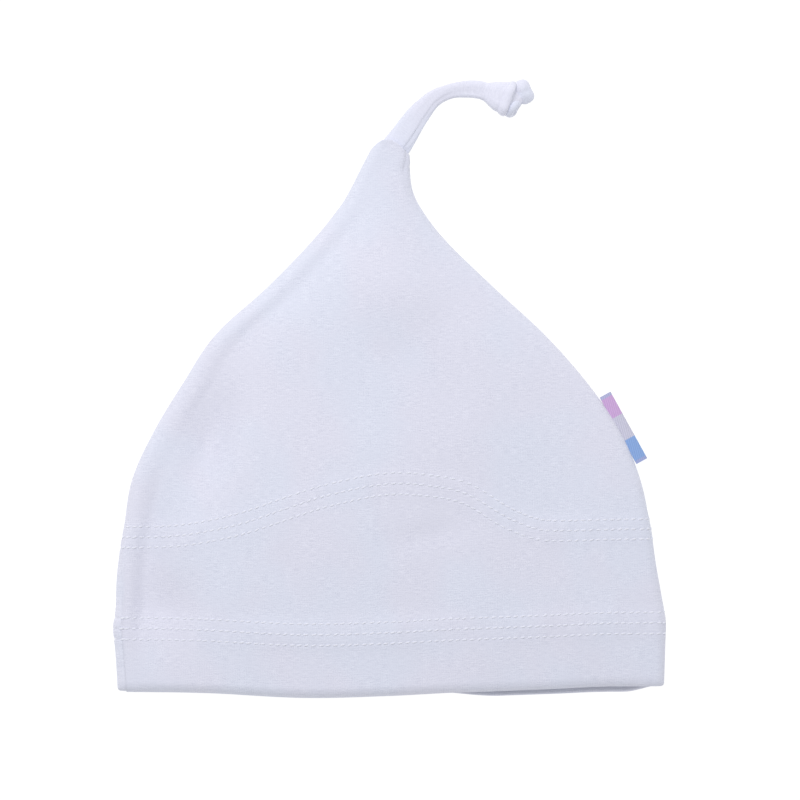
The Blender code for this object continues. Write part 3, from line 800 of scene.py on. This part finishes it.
# %% Rows and columns
FINE_STEP = 0.00032  # between rows beside a seam
SEAM_FIELD = 0.0056  # how far the close rows reach from a seam
ROW_STEP = 0.0011  # between rows elsewhere, about
FOLD_SHARES = np.append(np.arange(0, 91, 6), (95, 98, 100)) / 100  # down a fold to its seam
MOUTH_TURNS = np.radians([4, 15, 26, 38, 50, 63, 76, 90])  # rows round the mouth's turned edge
TIP_TURNS = np.radians([90, 70, 50, 30, 10])  # and round the tip's

Row = namedtuple("Row", "share offset full")


def columns_around(flat_columns):
    """The places around of a panel's columns, from its left side seam to its right one."""
    flat = np.linspace(-1, 1, flat_columns + 1)
    return np.concatenate([-1 - FOLD_SHARES[:0:-1], flat, 1 + FOLD_SHARES[1:]])


def rows_up(from_mouth, cloth, height, to_tip):
    """A panel's rows from its lower edge to its upper edge."""
    beside = np.arange(0, SEAM_FIELD, FINE_STEP)
    if from_mouth:
        first = math.cos(MOUTH_TURNS[0])
        foot = [Row(0.0, cloth / 2 * (first - math.cos(a)), math.sin(a)) for a in MOUTH_TURNS]
    else:
        foot = [Row(0.0, off, 1.0) for off in beside]
    if to_tip:
        head = [Row(1.0, cloth / 2 * (math.cos(a) - 1), math.sin(a)) for a in TIP_TURNS]
    else:
        head = [Row(1.0, -off, 1.0) for off in beside[::-1]]
    count = round((height - foot[-1].offset + head[0].offset) / ROW_STEP)
    shares = np.arange(1, count) / count
    middle = [Row(t, (1 - t) * foot[-1].offset + t * head[0].offset, 1.0) for t in shares]
    return np.array(foot + middle + head)


print("rows beside a seam", mm(FINE_STEP), "mm apart")

# %% [markdown]
# ## Sewing a panel
#
# Each panel starts as a grid primitive, as flat as cloth on the cutting table. A Solidify modifier
# gives it a second face, and then every corner is carried onto the hat: its column says where it
# is around, its row how far up, and its face whether it is on the outside or the inside. Modelling
# the hat by hand would mean pulling hundreds of corners about. A cloth simulation would give folds,
# but not the ones of the photograph.

# %% Sewing a panel
FRONT_COLUMNS = 292
BACK_COLUMNS = 120
COTTONS = {"crown": crown_cotton, "brow": brow_cotton, "hem": hem_cotton}


def two_faced_grid(name, columns, rows):
    """A grid with a second face, and the column, row and face (-1 or 1) of each corner."""
    cells = {"x_subdivisions": columns - 1, "y_subdivisions": rows - 1}
    piece = add(name, bpy.ops.mesh.primitive_grid_add, size=1, **cells)
    faces = piece.modifiers.new("two faces", "SOLIDIFY")
    faces.thickness = 1.0
    faces.offset = 0.0
    bpy.ops.object.modifier_apply(modifier=faces.name)
    flat = corners(piece)
    column = np.rint((flat[:, 0] + 0.5) * (columns - 1)).astype(int)
    row = np.rint((flat[:, 1] + 0.5) * (rows - 1)).astype(int)
    return piece, column, row, np.sign(flat[:, 2])


def sew_panel(node, lower, upper, height):
    """A closed panel of cloth between two edges; its node's name says its part and its side."""
    part, side = node.split("_")
    front = side == "front"
    cloth = HEM_CLOTH if part == "hem" else CLOTH
    around = columns_around(FRONT_COLUMNS) if front else columns_around(BACK_COLUMNS)[::-1]
    rows = rows_up(part == "hem", cloth, height, part == "crown")
    panel, column, row, face = two_faced_grid(node + "_cloth", len(around), len(rows))

    share, offset, full = rows[row].T
    low = lower(across_at(around, lower(0.0) + 0 * around))[column]
    high = upper(across_at(around, upper(0.0) + 0 * around))[column]
    s = low + share * (high - low) + offset
    places, on_cloth = on_hat(front, around[column], s, cloth / 2 * (1 - face * full), cloth)
    move_corners(panel, places)
    map_cloth(panel, on_cloth)
    smooth(panel)
    coat(panel, COTTONS[part])
    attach(panel, "root")
    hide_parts(node)
    return panel


def raised(edge):
    return lambda across: edge(across) + SEAM_GAP / 2


def lowered(edge):
    return lambda across: edge(across) - SEAM_GAP / 2


# %% [markdown]
# The crown is the big upper panel, front and back, the brow lies between the arched seam and the
# hem seam, and the hem is turned double at the mouth. The mouth's rows go round in a half circle,
# which is the turned edge of the cloth.

# %% The six panels
PANELS = table_of(
    "node lower upper height",
    ("crown_front", raised(arch_seam), tip_edge, CROWN_HEIGHT - ARCH_RISE),
    ("crown_back", raised(straight_seam), tip_edge, CROWN_HEIGHT),
    ("brow_front", raised(hem_seam), lowered(arch_seam), BROW_DEPTH + ARCH_RISE),
    ("brow_back", raised(hem_seam), lowered(straight_seam), BROW_DEPTH),
    ("hem_front", mouth_front, lowered(hem_seam), HEM_DEPTH),
    ("hem_back", mouth_back, lowered(hem_seam), HEM_DEPTH),
)
panels = {}
for cut in PANELS:
    panels[cut.node] = sew_panel(*cut)
    print(cut.node, len(panels[cut.node].data.polygons), "faces")

# %% [markdown]
# ## The stitches
#
# Every dash of the seams is a turn of soft cotton thread. One is modelled here from a small sphere:
# it is drawn out along the row and its ends bend down into the cloth. The rest are copies of it, so
# that the nine hundred of them stay light.

# %% One stitch
STITCH_LENGTH = 0.00180
STITCH_WIDTH = 0.00058
STITCH_HEIGHT = 0.00036
STITCH_DIVE = 0.00022  # how far its ends bend down into the cloth
DIVE_POWER = 4  # and how close to the ends they do so
STITCH_LEAN = math.radians(12)
FRONT_RISE = 0.00006  # how far the middle of a stitch stands off the bottom of its groove
BACK_RISE = -0.00003

stitch = add(
    "stitch", bpy.ops.mesh.primitive_uv_sphere_add,
    segments=8, ring_count=8, radius=0.5, rotation=(0, math.pi / 2, 0),
)
bpy.ops.object.transform_apply(location=False, rotation=True, scale=False)
bpy.ops.object.mode_set(mode="EDIT")
bpy.ops.mesh.select_all(action="SELECT")
bpy.ops.transform.resize(value=(STITCH_LENGTH, STITCH_WIDTH, STITCH_HEIGHT), center_override=(0, 0, 0))
bpy.ops.object.mode_set(mode="OBJECT")
shape = corners(stitch)
shape[:, 2] -= STITCH_DIVE * (2 * shape[:, 0] / STITCH_LENGTH) ** DIVE_POWER
move_corners(stitch, shape)
stitch.data.uv_layers[0].name = "thread"
stitch.data.shade_smooth()
print("a stitch has", len(stitch.data.polygons), "faces")

# %% [markdown]
# The thread is a touch whiter than the cloth. It is plied, so slanting ridges run along it, two
# in a turn round it and five over its length.

# %% Thread
PLY_DEPTH = 0.00003
PLY_DARK = (0.820, 0.830, 0.910, 1.0)
PLY_LIGHT = (0.890, 0.898, 0.965, 1.0)
PLIES_ROUND, PLIES_ALONG = 2, 5

thread = Recipe("cotton_thread", Roughness=0.75, Sheen_Weight=0.2)
round_it, along_it = thread.place_on("thread")
ply = (round_it * PLIES_ROUND + along_it * PLIES_ALONG).wave()
# Painted shade: the colour follows the plies, darker in the grooves between them.
thread_colour = thread.mix(ply, PLY_DARK, PLY_LIGHT)
cotton_thread = thread.finish(Base_Color=thread_colour, Normal=thread.bump(ply, PLY_DEPTH))
coat(stitch, cotton_thread)
print("the thread has", len(thread.nodes), "nodes")

# %% [markdown]
# A row of stitches follows its seam from one side of the hat to the other and goes round the side
# folds. Its places are evenly spaced along the row's real length, with a little unevenness, as a
# machine sews on stretchy cloth.

# %% Rows of stitches
STITCH_JITTER = 0.06  # shares of the pitch
LEAN_JITTER = math.radians(5)
HALF_CHORD = 0.4  # how far before and after its middle, in pitches, a stitch's way is read
ROW_SAMPLES = 900
SEED = 7
rng = np.random.default_rng(SEED)


def place_at(path, stitches, at):
    """The place on a path at a number of stitches from the hat's middle line."""
    return Vector([np.interp(at, stitches, path[:, c]) for c in range(3)])


def sew_row(front, seam, off):
    """One row of stitches at a distance from a seam, as loose copies."""
    around = np.linspace(-2, 2, ROW_SAMPLES)
    across = across_at(around, seam(0.0) + off)
    slope = seam_slope(seam, across, HALF_WIDTH)
    steep = np.hypot(1.0, slope)
    s = seam(across) + off * steep
    path, flat = on_hat(front, around, s, 0 * s, CLOTH)
    above = on_hat(front, around, s + STITCH_WIDTH, 0 * s, CLOTH)[0]
    stitches = stitch_count(seam, flat[:, 0] + off * slope / steep)
    side, rise = (1, FRONT_RISE) if front else (-1, BACK_RISE)
    made = []
    for k in np.arange(math.ceil(stitches[0]) + 0.5, stitches[-1]):
        at = k + STITCH_JITTER * rng.standard_normal()
        here, up = (place_at(way, stitches, at) for way in (path, above))
        along = place_at(path, stitches, at + HALF_CHORD) - place_at(path, stitches, at - HALF_CHORD)
        along.normalize()
        out = along.cross(up - here).normalized() * side
        lean = STITCH_LEAN + LEAN_JITTER * rng.standard_normal()
        along = Matrix.Rotation(lean * side, 3, out) @ along
        turn = Matrix((along, out.cross(along), out)).transposed().to_4x4()
        copy = bpy.data.objects.new("stitch", stitch.data.copy())
        copy.matrix_world = Matrix.Translation(here + out * rise) @ turn
        scene.collection.objects.link(copy)
        made.append(copy)
    return made


def join(pieces, name):
    """Many pieces as one, at the origin."""
    deselect()
    for piece in pieces:
        piece.select_set(True)
    bpy.context.view_layer.objects.active = pieces[0]
    bpy.ops.object.join()
    joined = bpy.context.object
    joined.name = name
    bpy.ops.object.transform_apply(location=True, rotation=True, scale=True)
    return joined


SEAMS = (
    ("hem_stitches", "hem_cotton", hem_seam, hem_seam),
    ("arch_stitches", "crown_cotton", arch_seam, straight_seam),
)
for name, slot, front_seam, back_seam in SEAMS:
    made = []
    for off in ROWS_OF_STITCHES:
        made += sew_row(True, front_seam, off) + sew_row(False, back_seam, off)
    count = len(made)
    sewn = join(made, name)
    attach(sewn, "root")
    print(name, count, "stitches, lowest at", mm(corners(sewn)[:, 2].min()), "mm")
bpy.data.objects.remove(stitch)

# %% [markdown]
# ## The tail
#
# The tail is a strip of the same cloth, rolled up and sewn, which comes out of the hat's open tip.
# It leans to the right, bends over and widens into its knot. A knitted roll like this has no flat
# sides to extrude from, so it starts as a UV sphere whose rings are carried along the route in the
# table, one after another. The sphere's two poles close its ends. A groove runs along it where the
# cloth laps over, with the rolled edge beside it.

# %% The tail's table
TAIL_REACH = 0.0289
TAIL_RISE = 0.0159
TAIL_TUCK = 0.0090
KNOT_LENGTH = 0.0072
KNOT_WIDTH = 0.0107
KNOT_THICK = 0.0088

# Columns: how far to the right and up it is, as shares of the named sizes; the way that it runs in
# degrees; its width, thickness and height; and how far round it the cloth laps over, in degrees.
STRAND = "reach rise facing width thick lift lap"
TAIL_FOOT = table_of(
    STRAND,
    (-0.18, -1.00, 90, 0.84, 0.90, 1.00, 48),
    (-0.15, -0.66, 86, 0.88, 0.96, 1.00, 48),
)
TAIL_WAY_OUT = table_of(
    STRAND,
    (0.070, -0.390, 72, 0.99, 1.00, 1.00, 48),
    (0.275, -0.145, 61, 1.08, 1.00, 1.00, 50),
    (0.510, 0.180, 56, 1.02, 1.00, 0.96, 53),
)
TAIL_FREE = table_of(
    STRAND,
    (0.090, 0.233, 54, 0.94, 1.02, 0.86, 54),
    (0.213, 0.523, 48, 0.82, 1.04, 0.74, 57),
    (0.378, 0.811, 34, 0.64, 1.04, 0.68, 65),
    (0.571, 0.960, 15, 0.58, 1.03, 0.66, 75),
    (0.767, 1.000, 2, 0.65, 1.04, 0.74, 80),
    (0.909, 0.985, -6, 0.69, 1.10, 0.90, 81),
)
COLLAR = table_of(
    "ahead up facing width thick",
    (0.00, -0.057, -12, 0.53, 0.55),
    (0.26, -0.112, -17, 0.69, 0.72),
    (0.54, -0.181, -20, 0.83, 0.85),
    (0.71, -0.209, -21, 0.87, 0.89),
    (0.76, -0.220, -21, 0.925, 0.93),
    (0.853, -0.241, -21, 0.985, 0.985),
    (0.957, -0.273, -21, 1.000, 1.00),
    (1.03, -0.290, -21, 0.960, 0.96),
    (1.06, -0.298, -21, 0.900, 0.89),
    (1.08, -0.303, -21, 0.790, 0.77),
    (1.11, -0.310, -21, 0.690, 0.66),
    (1.20, -0.335, -22, 0.610, 0.58),
    (1.34, -0.375, -24, 0.520, 0.52),
    (1.46, -0.410, -26, 0.400, 0.40),
)
RIM = 6  # the row of the collar's rim; the roll behind it hangs in the knot at the rim's height

Spot = namedtuple("Spot", "place x y z facing wide thick lap")


def tail_spots():
    """Where the tail's middle is at each row of its tables, and its size there."""
    hollow = 2 * (FOLD_RADIUS - CLOTH - TAIL_FIT)
    rows = [row._replace(reach=row.reach * TIP_HALF, rise=row.rise * TAIL_TUCK) for row in TAIL_FOOT]
    for row in TAIL_WAY_OUT:
        rows.append(row._replace(reach=row.reach * TAIL_WIDTH, rise=row.rise * TAIL_WIDTH))
    out = rows[-1]
    for row in TAIL_FREE:
        reach = out.reach + row.reach * (TAIL_REACH - out.reach)
        rise = out.rise + row.rise * (TAIL_RISE - out.rise)
        rows.append(row._replace(reach=reach, rise=rise))
    spots = []
    for k, row in enumerate(rows):
        thick = row.thick * hollow
        z = max(row.lift * FOLD_RADIUS, thick / 2)
        y = MOUTH + TIP + row.rise
        spots.append(Spot(k, row.reach, y, z, row.facing, row.width * TAIL_WIDTH, thick, row.lap))
    start_y = spots[-1].y
    for k, row in enumerate(COLLAR):
        thick = row.thick * KNOT_THICK
        z = (thick if k < RIM else KNOT_THICK) / 2
        x, y = TAIL_REACH + row.ahead * KNOT_LENGTH, start_y + row.up * KNOT_WIDTH
        wide, lap = row.width * KNOT_WIDTH, spots[-1].lap
        spots.append(Spot(len(spots), x, y, z, row.facing, wide, thick, lap))
    return spots


spots = tail_spots()
collar_place = len(TAIL_FOOT) + len(TAIL_WAY_OUT) + len(TAIL_FREE)
print("the tail runs to", mm(*spots[-1][1:4]), "mm")

# %% [markdown]
# The rings are mapped by where each corner is on the sphere: its latitude says how far along the
# tail, its longitude how far round the roll.

# %% Rings of a roll
def squarer(wave, power):
    """A sine or cosine that stays near its ends for longer, so that a round roll gets flatter sides."""
    return np.sign(wave) * np.abs(wave) ** power


def ring_and_turn(sphere, rings):
    """For each corner of a UV sphere its ring, counted from the bottom pole, and its turn."""
    at = corners(sphere)
    at /= np.linalg.norm(at, axis=1)[:, None]
    ring = np.rint(rings * (1 - np.arccos(np.clip(at[:, 2], -1, 1)) / math.pi)).astype(int)
    return ring, np.arctan2(at[:, 1], at[:, 0])


def map_round(piece, round_it, along_it, full_turn):
    """A flat map for a roll; faces across the map's cut are laid out past it."""
    map_cloth(piece, np.column_stack([round_it, along_it]))
    layer = piece.data.uv_layers["cloth"].data
    for face in piece.data.polygons:
        places = [layer[k].uv for k in face.loop_indices]
        if max(p.x for p in places) - min(p.x for p in places) > full_turn / 2:
            for p in places:
                if p.x < 0:
                    p.x += full_turn


def up_to(place, row):
    """1 on a table's rows up to one of them, and 0 from two rows on."""
    return 1 - ease((place - row) / 2)


# %% [markdown]
# The roll's skin is nearly round. A groove lies under the lapped edge, with a finer line beside it,
# and the cloth beyond the lap is a little lower. The lap dies out towards the knot.

# %% The tail
TAIL_SIDES = 64
TAIL_RINGS = 190
LAP_REACH = math.radians(12)
LAP_DEPTH = 0.16
LAP_DROP = 0.16  # how much lower the cloth lies beyond the lap
DROP_RAMP = math.radians(16)  # round the roll, from the lap to the full drop
DROP_START = math.radians(30)  # the drop ends this far below the roll's right side
DROP_FADE = 0.5
BEAD_TURN = math.radians(23)  # a finer line beside the rolled edge, this far past the lap
BEAD_REACH = math.radians(6)
BEAD_LINE = 0.035
COLLAR_LAP = 0.15  # what is left of the lap on the collar
TAIL_SLACK = 0.05
SLACK_STEP = 0.016  # the length over which its slack changes as much as half way round
TAIL_WAVES = table_of(RIPPLE, (1.0, 0.4, 0.25, 2.2))
FLATTENED = 0.35  # how much flatter than a circle the roll is on its free length
ROLL = 0.0030  # radius by which the turn round the tail is laid out flat for the knit
TABLE_CLEAR = 0.0001  # no corner comes lower than this
LAP_END = collar_place - 1.5  # rows of the tables at which the lap, the bead and the round end
BEAD_END = collar_place - 6.5
ROUND_END = 2.5

tail = add(
    "rolled_tail", bpy.ops.mesh.primitive_uv_sphere_add,
    segments=TAIL_SIDES, ring_count=TAIL_RINGS, radius=1.0,
)
ring, turn = ring_and_turn(tail, TAIL_RINGS)
turn = np.mod(turn + math.pi / 2, 2 * math.pi) - math.pi / 2  # cut along its underside
place = np.clip((ring - 1) / (TAIL_RINGS - 2), 0, 1) * (len(spots) - 1)
x, y, z, facing, wide, thick, lap = (read_table(spots, c, place) for c in Spot._fields[1:])
facing, lap = np.radians(facing), np.radians(lap)
stretches = np.hypot(np.diff([spot.x for spot in spots]), np.diff([spot.y for spot in spots]))
along = np.interp(place, range(len(spots)), np.concatenate([[0.0], np.cumsum(stretches)]))

rolled = up_to(place, LAP_END)
beaded = up_to(place, BEAD_END)
lap_share = COLLAR_LAP + (1 - COLLAR_LAP) * rolled
skin = 1 - lap_share * LAP_DEPTH * bell(turn - lap, LAP_REACH)
skin = skin - beaded * BEAD_LINE * bell(turn - lap + BEAD_TURN, BEAD_REACH)
skin = skin + TAIL_SLACK * waves(np.cos(turn), np.sin(turn) + along / SLACK_STEP, TAIL_WAVES)
skin = np.where((ring == 0) | (ring == TAIL_RINGS), 0.0, skin)
beyond_lap = ease((lap - turn) / DROP_RAMP) * ease((turn + DROP_START) / DROP_FADE)
drop = 1 - LAP_DROP * rolled * beyond_lap
power = 1 - FLATTENED * (1 - up_to(place, ROUND_END))
aside = squarer(np.cos(turn), power) * skin * wide / 2
upward = squarer(np.sin(turn), power) * skin * drop * thick / 2
move_corners(tail, np.column_stack([
    x + np.sin(facing) * aside,
    y - np.cos(facing) * aside,
    np.maximum(z + upward, TABLE_CLEAR),
]))
map_round(tail, turn * ROLL, along, 2 * math.pi * ROLL)
select_only(tail)
bpy.ops.object.mode_set(mode="EDIT")
bpy.ops.mesh.select_all(action="SELECT")
bpy.ops.mesh.normals_make_consistent(inside=False)  # the route turned the sphere inside out
bpy.ops.object.mode_set(mode="OBJECT")
tail.data.shade_smooth()
coat(tail, tail_cotton)
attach(tail, "root")
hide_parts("tail")
print("tail", len(tail.data.polygons), "faces")

# %% [markdown]
# ## The knot
#
# Behind the collar's rim a turn of cloth is pulled tight round the tail. It is a torus that lies
# askew: a primitive that has the turn's shape from the start. Its lower right is fuller, where the
# cloth is bunched, and a shallow crease winds round it.

# %% The knot's turn
KNOT_FACING = math.radians(-43)
TURN_RADIUS = 0.0022
TURN_THICK = 0.0014
TURN_BUNCH = 0.00035  # how much thicker it is at its lower right
BUNCH_AT, BUNCH_REACH = math.radians(-60), math.radians(55)
BUNCH_FORWARD = 0.0004
CREASE_DEPTH = 0.14
CREASE_WIND = 0.9  # turns round the cloth in one turn of the ring
CREASE_REACH = math.radians(28)
TURN_PLACE = Vector((
    TAIL_REACH + 1.13 * KNOT_LENGTH,
    spots[collar_place].y - 0.43 * KNOT_WIDTH,
    0.0038,
))


def wrapped(angle):
    """The same angle, between half a turn back and half a turn on."""
    return np.angle(np.exp(1j * angle))


knot_turn = add(
    "knot_turn", bpy.ops.mesh.primitive_torus_add,
    major_segments=72, minor_segments=24, major_radius=1.0, minor_radius=0.35,
)
ring_at = corners(knot_turn)
major = np.arctan2(ring_at[:, 1], ring_at[:, 0])
minor = np.arctan2(ring_at[:, 2], np.hypot(ring_at[:, 0], ring_at[:, 1]) - 1.0)
bunch = bell(wrapped(major - BUNCH_AT), BUNCH_REACH)
crease = 1 - CREASE_DEPTH * bell(wrapped(minor - CREASE_WIND * major), CREASE_REACH)
thick_here = (TURN_THICK + TURN_BUNCH * bunch) * crease
out = TURN_RADIUS - 0.25 * TURN_BUNCH * bunch + np.cos(minor) * thick_here
forward = BUNCH_FORWARD * bunch - np.sin(minor) * thick_here
right = out * np.cos(major)
ahead = Vector((math.cos(KNOT_FACING), math.sin(KNOT_FACING), 0))
move_corners(knot_turn, np.column_stack([
    TURN_PLACE.x + ahead.x * forward + ahead.y * right,
    TURN_PLACE.y + ahead.y * forward - ahead.x * right,
    np.maximum(TURN_PLACE.z + out * np.sin(major), TABLE_CLEAR),
]))
map_round(knot_turn, minor * TURN_THICK, major * TURN_RADIUS, 2 * math.pi * TURN_THICK)
knot_turn.data.shade_smooth()
coat(knot_turn, tail_cotton)
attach(knot_turn, "root")
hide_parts("knot_loop")
print("knot's turn", mm(*np.ptp(corners(knot_turn), axis=0)), "mm")

# %% [markdown]
# ## The tail's end
#
# Out of the knot comes the tail's short end, a crumpled tuft. Modelled in edit mode it would be many
# small pulls that are hard to repeat, so it is a sphere that a few named lobes and creases push out
# and in, as thumbs would. Each has a direction, a reach in degrees and a push in metres.

# %% The tail's end
TUFT_PLACE = Vector((0.0396, MOUTH + TIP + 0.0148, 0.0046))
TUFT_HALF = Vector((0.0033, 0.0031, 0.0024))
LOBES = table_of(
    "azimuth height reach push",
    (80, 15, 34, 0.00085),  # the upper ear
    (-30, 5, 28, 0.00085),  # the right ear
    (-72, 0, 26, 0.00060),
    (28, 0, 24, -0.00030),
    (-125, 20, 26, -0.00060),
    (-160, 60, 26, -0.00050),
    (-35, 58, 26, 0.00020),
    (60, 62, 26, 0.00025),
    (10, 62, 16, -0.00030),
    (150, 30, 34, 0.00090),  # the root, which comes out from under the collar's rim
)

tuft = add(
    "tail_end", bpy.ops.mesh.primitive_uv_sphere_add, segments=56, ring_count=40, radius=1.0
)
ball = corners(tuft)
shaped = ball * np.array(TUFT_HALF)
for lobe in LOBES:
    azimuth, height, reach = (math.radians(angle) for angle in lobe[:3])
    level = math.cos(height)
    toward = np.array((level * math.cos(azimuth), level * math.sin(azimuth), math.sin(height)))
    off = np.arccos(np.clip(ball @ toward, -1, 1))
    shaped += ball * (lobe.push * bell(off, reach))[:, None]
move_corners(tuft, shaped + np.array(TUFT_PLACE))
round_tuft = np.arctan2(ball[:, 1], ball[:, 0]) * TUFT_HALF.x
up_tuft = np.arcsin(np.clip(ball[:, 2], -1, 1)) * TUFT_HALF.x
map_round(tuft, round_tuft, up_tuft, 2 * math.pi * TUFT_HALF.x)
tuft.data.shade_smooth()
coat(tuft, tail_cotton)
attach(tuft, "root")
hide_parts("tail")
print("tail end at", mm(*TUFT_PLACE), "mm")

# %% [markdown]
# ## The side label
#
# A folded woven ribbon is caught in the right side seam. It shows its fold outward. It is a grid
# thickened by Solidify, then bent round its fold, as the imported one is. Its cloth map runs along
# and across the ribbon, so that the woven blocks of colour and the twill's fine slanting lines
# follow it round the fold.

# %% The label
LABEL_LENGTH = 0.0228
LABEL_REACH = 0.0037
LABEL_RIBBON = 0.00035
LABEL_BEND = 0.00055
LABEL_PLACE = 0.0792
LABEL_SEAT = -0.0005  # its foot is caught in the seam
LABEL_LEGS = 6
LABEL_BENDS = 10
LABEL_STEPS = 60
LABEL_SAMPLES = 9  # places at which the hat's side is read behind it

middle_radius = LABEL_BEND - LABEL_RIBBON / 2
straight = LABEL_REACH - LABEL_BEND
legs = [LABEL_SEAT + straight * k / LABEL_LEGS for k in range(LABEL_LEGS)]
route = [(out, middle_radius, math.pi / 2) for out in legs]
for angle in np.linspace(math.pi / 2, -math.pi / 2, LABEL_BENDS + 1):
    bend_out, bend_up = middle_radius * math.cos(angle), middle_radius * math.sin(angle)
    route.append((LABEL_SEAT + straight + bend_out, bend_up, angle))
route += [(out, -middle_radius, -math.pi / 2) for out in reversed(legs)]

label, step, along_row, face = two_faced_grid("folded_label", len(route), LABEL_STEPS + 1)
out, up, angle = np.array(route)[step].T
out = out + LABEL_RIBBON / 2 * face * np.cos(angle)
up = up + LABEL_RIBBON / 2 * face * np.sin(angle)
along_label = (along_row / LABEL_STEPS - 0.5) * LABEL_LENGTH

beside = LABEL_PLACE + np.linspace(-0.5, 0.5, LABEL_SAMPLES) * LABEL_LENGTH
edge = np.column_stack([section(beside)[1], beside])
chord = (edge[-1] - edge[0]) / np.linalg.norm(edge[-1] - edge[0])
outward = np.array((chord[1], -chord[0]))
foot = edge[LABEL_SAMPLES // 2]
bow = ((edge - foot) @ outward).max()  # so that the straight fold clears the curved side
flat_place = foot + np.outer(out + bow, outward) + np.outer(along_label, chord)
move_corners(label, np.column_stack([flat_place[:, 0], MOUTH + flat_place[:, 1], FOLD_RADIUS + up]))
map_cloth(label, np.column_stack([out - LABEL_SEAT, 0.5 - along_label / LABEL_LENGTH]))
smooth(label)
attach(label, "root")
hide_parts("side_label")
print("label", mm(LABEL_LENGTH), "mm along the seam")

# %% [markdown]
# The ribbon's blocks are pink, a pale grey and blue, with a thin lilac end at the top and a violet
# one at the bottom. Each block is laid over the last from its own start along the ribbon. The twill
# darkens every other thread a little and raises the ones between.

# %% The label's finish
TWILL_PITCH = 0.00060
TWILL_LEAN = math.radians(14)
THREAD_PITCH = 0.00028
WEAR_SPOT = (0.0010, 0.0010)
BLOCK_EDGE = 0.012  # how soft a block's edge is, as a share of the ribbon's length
TWILL_SHARE, THREAD_SHARE, WEAR_SHARE = 0.6, 0.2, 0.2  # what each counts in the weave
WEAVE_DEPTH = 0.00006
WEAVE_DARK = (0.80, 0.80, 0.84, 1.0)
WEAVE_LIGHT = (1.10, 1.10, 1.06, 1.0)
TOP_END = (0.500, 0.510, 0.760, 1.0)
BLOCKS = table_of(
    "start colour",
    (0.045, (0.665, 0.425, 0.740)),
    (0.325, (0.648, 0.640, 0.763)),
    (0.655, (0.270, 0.438, 0.788)),
    (0.955, (0.380, 0.440, 0.730)),
)

ribbon = Recipe("woven_ribbon", Roughness=0.55, Sheen_Weight=0.15)
across_it, along_it = ribbon.place_on("cloth")
in_metres = along_it * LABEL_LENGTH
twill = (across_it * math.cos(TWILL_LEAN) + in_metres * math.sin(TWILL_LEAN)) / TWILL_PITCH
threads = in_metres / THREAD_PITCH
wear = ribbon.noise(across_it, in_metres, *WEAR_SPOT, detail=3.0)
weave = twill.wave() * TWILL_SHARE + threads.wave() * THREAD_SHARE + wear * WEAR_SHARE
woven = TOP_END
for block in BLOCKS:
    woven = ribbon.mix(along_it.above(block.start, BLOCK_EDGE), woven, (*block.colour, 1.0))
woven = ribbon.tinted(woven, ribbon.mix(weave, WEAVE_DARK, WEAVE_LIGHT))
coat(label, ribbon.finish(Base_Color=woven, Normal=ribbon.bump(weave, WEAVE_DEPTH)))
print("ribbon in", len(BLOCKS), "blocks below its top end")

# %% [markdown]
# ## What the cloth was cut to
#
# Each panel is declared as a sheet of cloth with the size that it was cut to. It comes from the
# panel's own map of the flat cloth. A front panel rests on the back one of the same name.

# %% The sheets
for name, panel in panels.items():
    layer = panel.data.uv_layers["cloth"].data
    places = np.empty(2 * len(layer))
    layer.foreach_get("uv", places)
    width, height = np.ptp(places.reshape(-1, 2), axis=0)
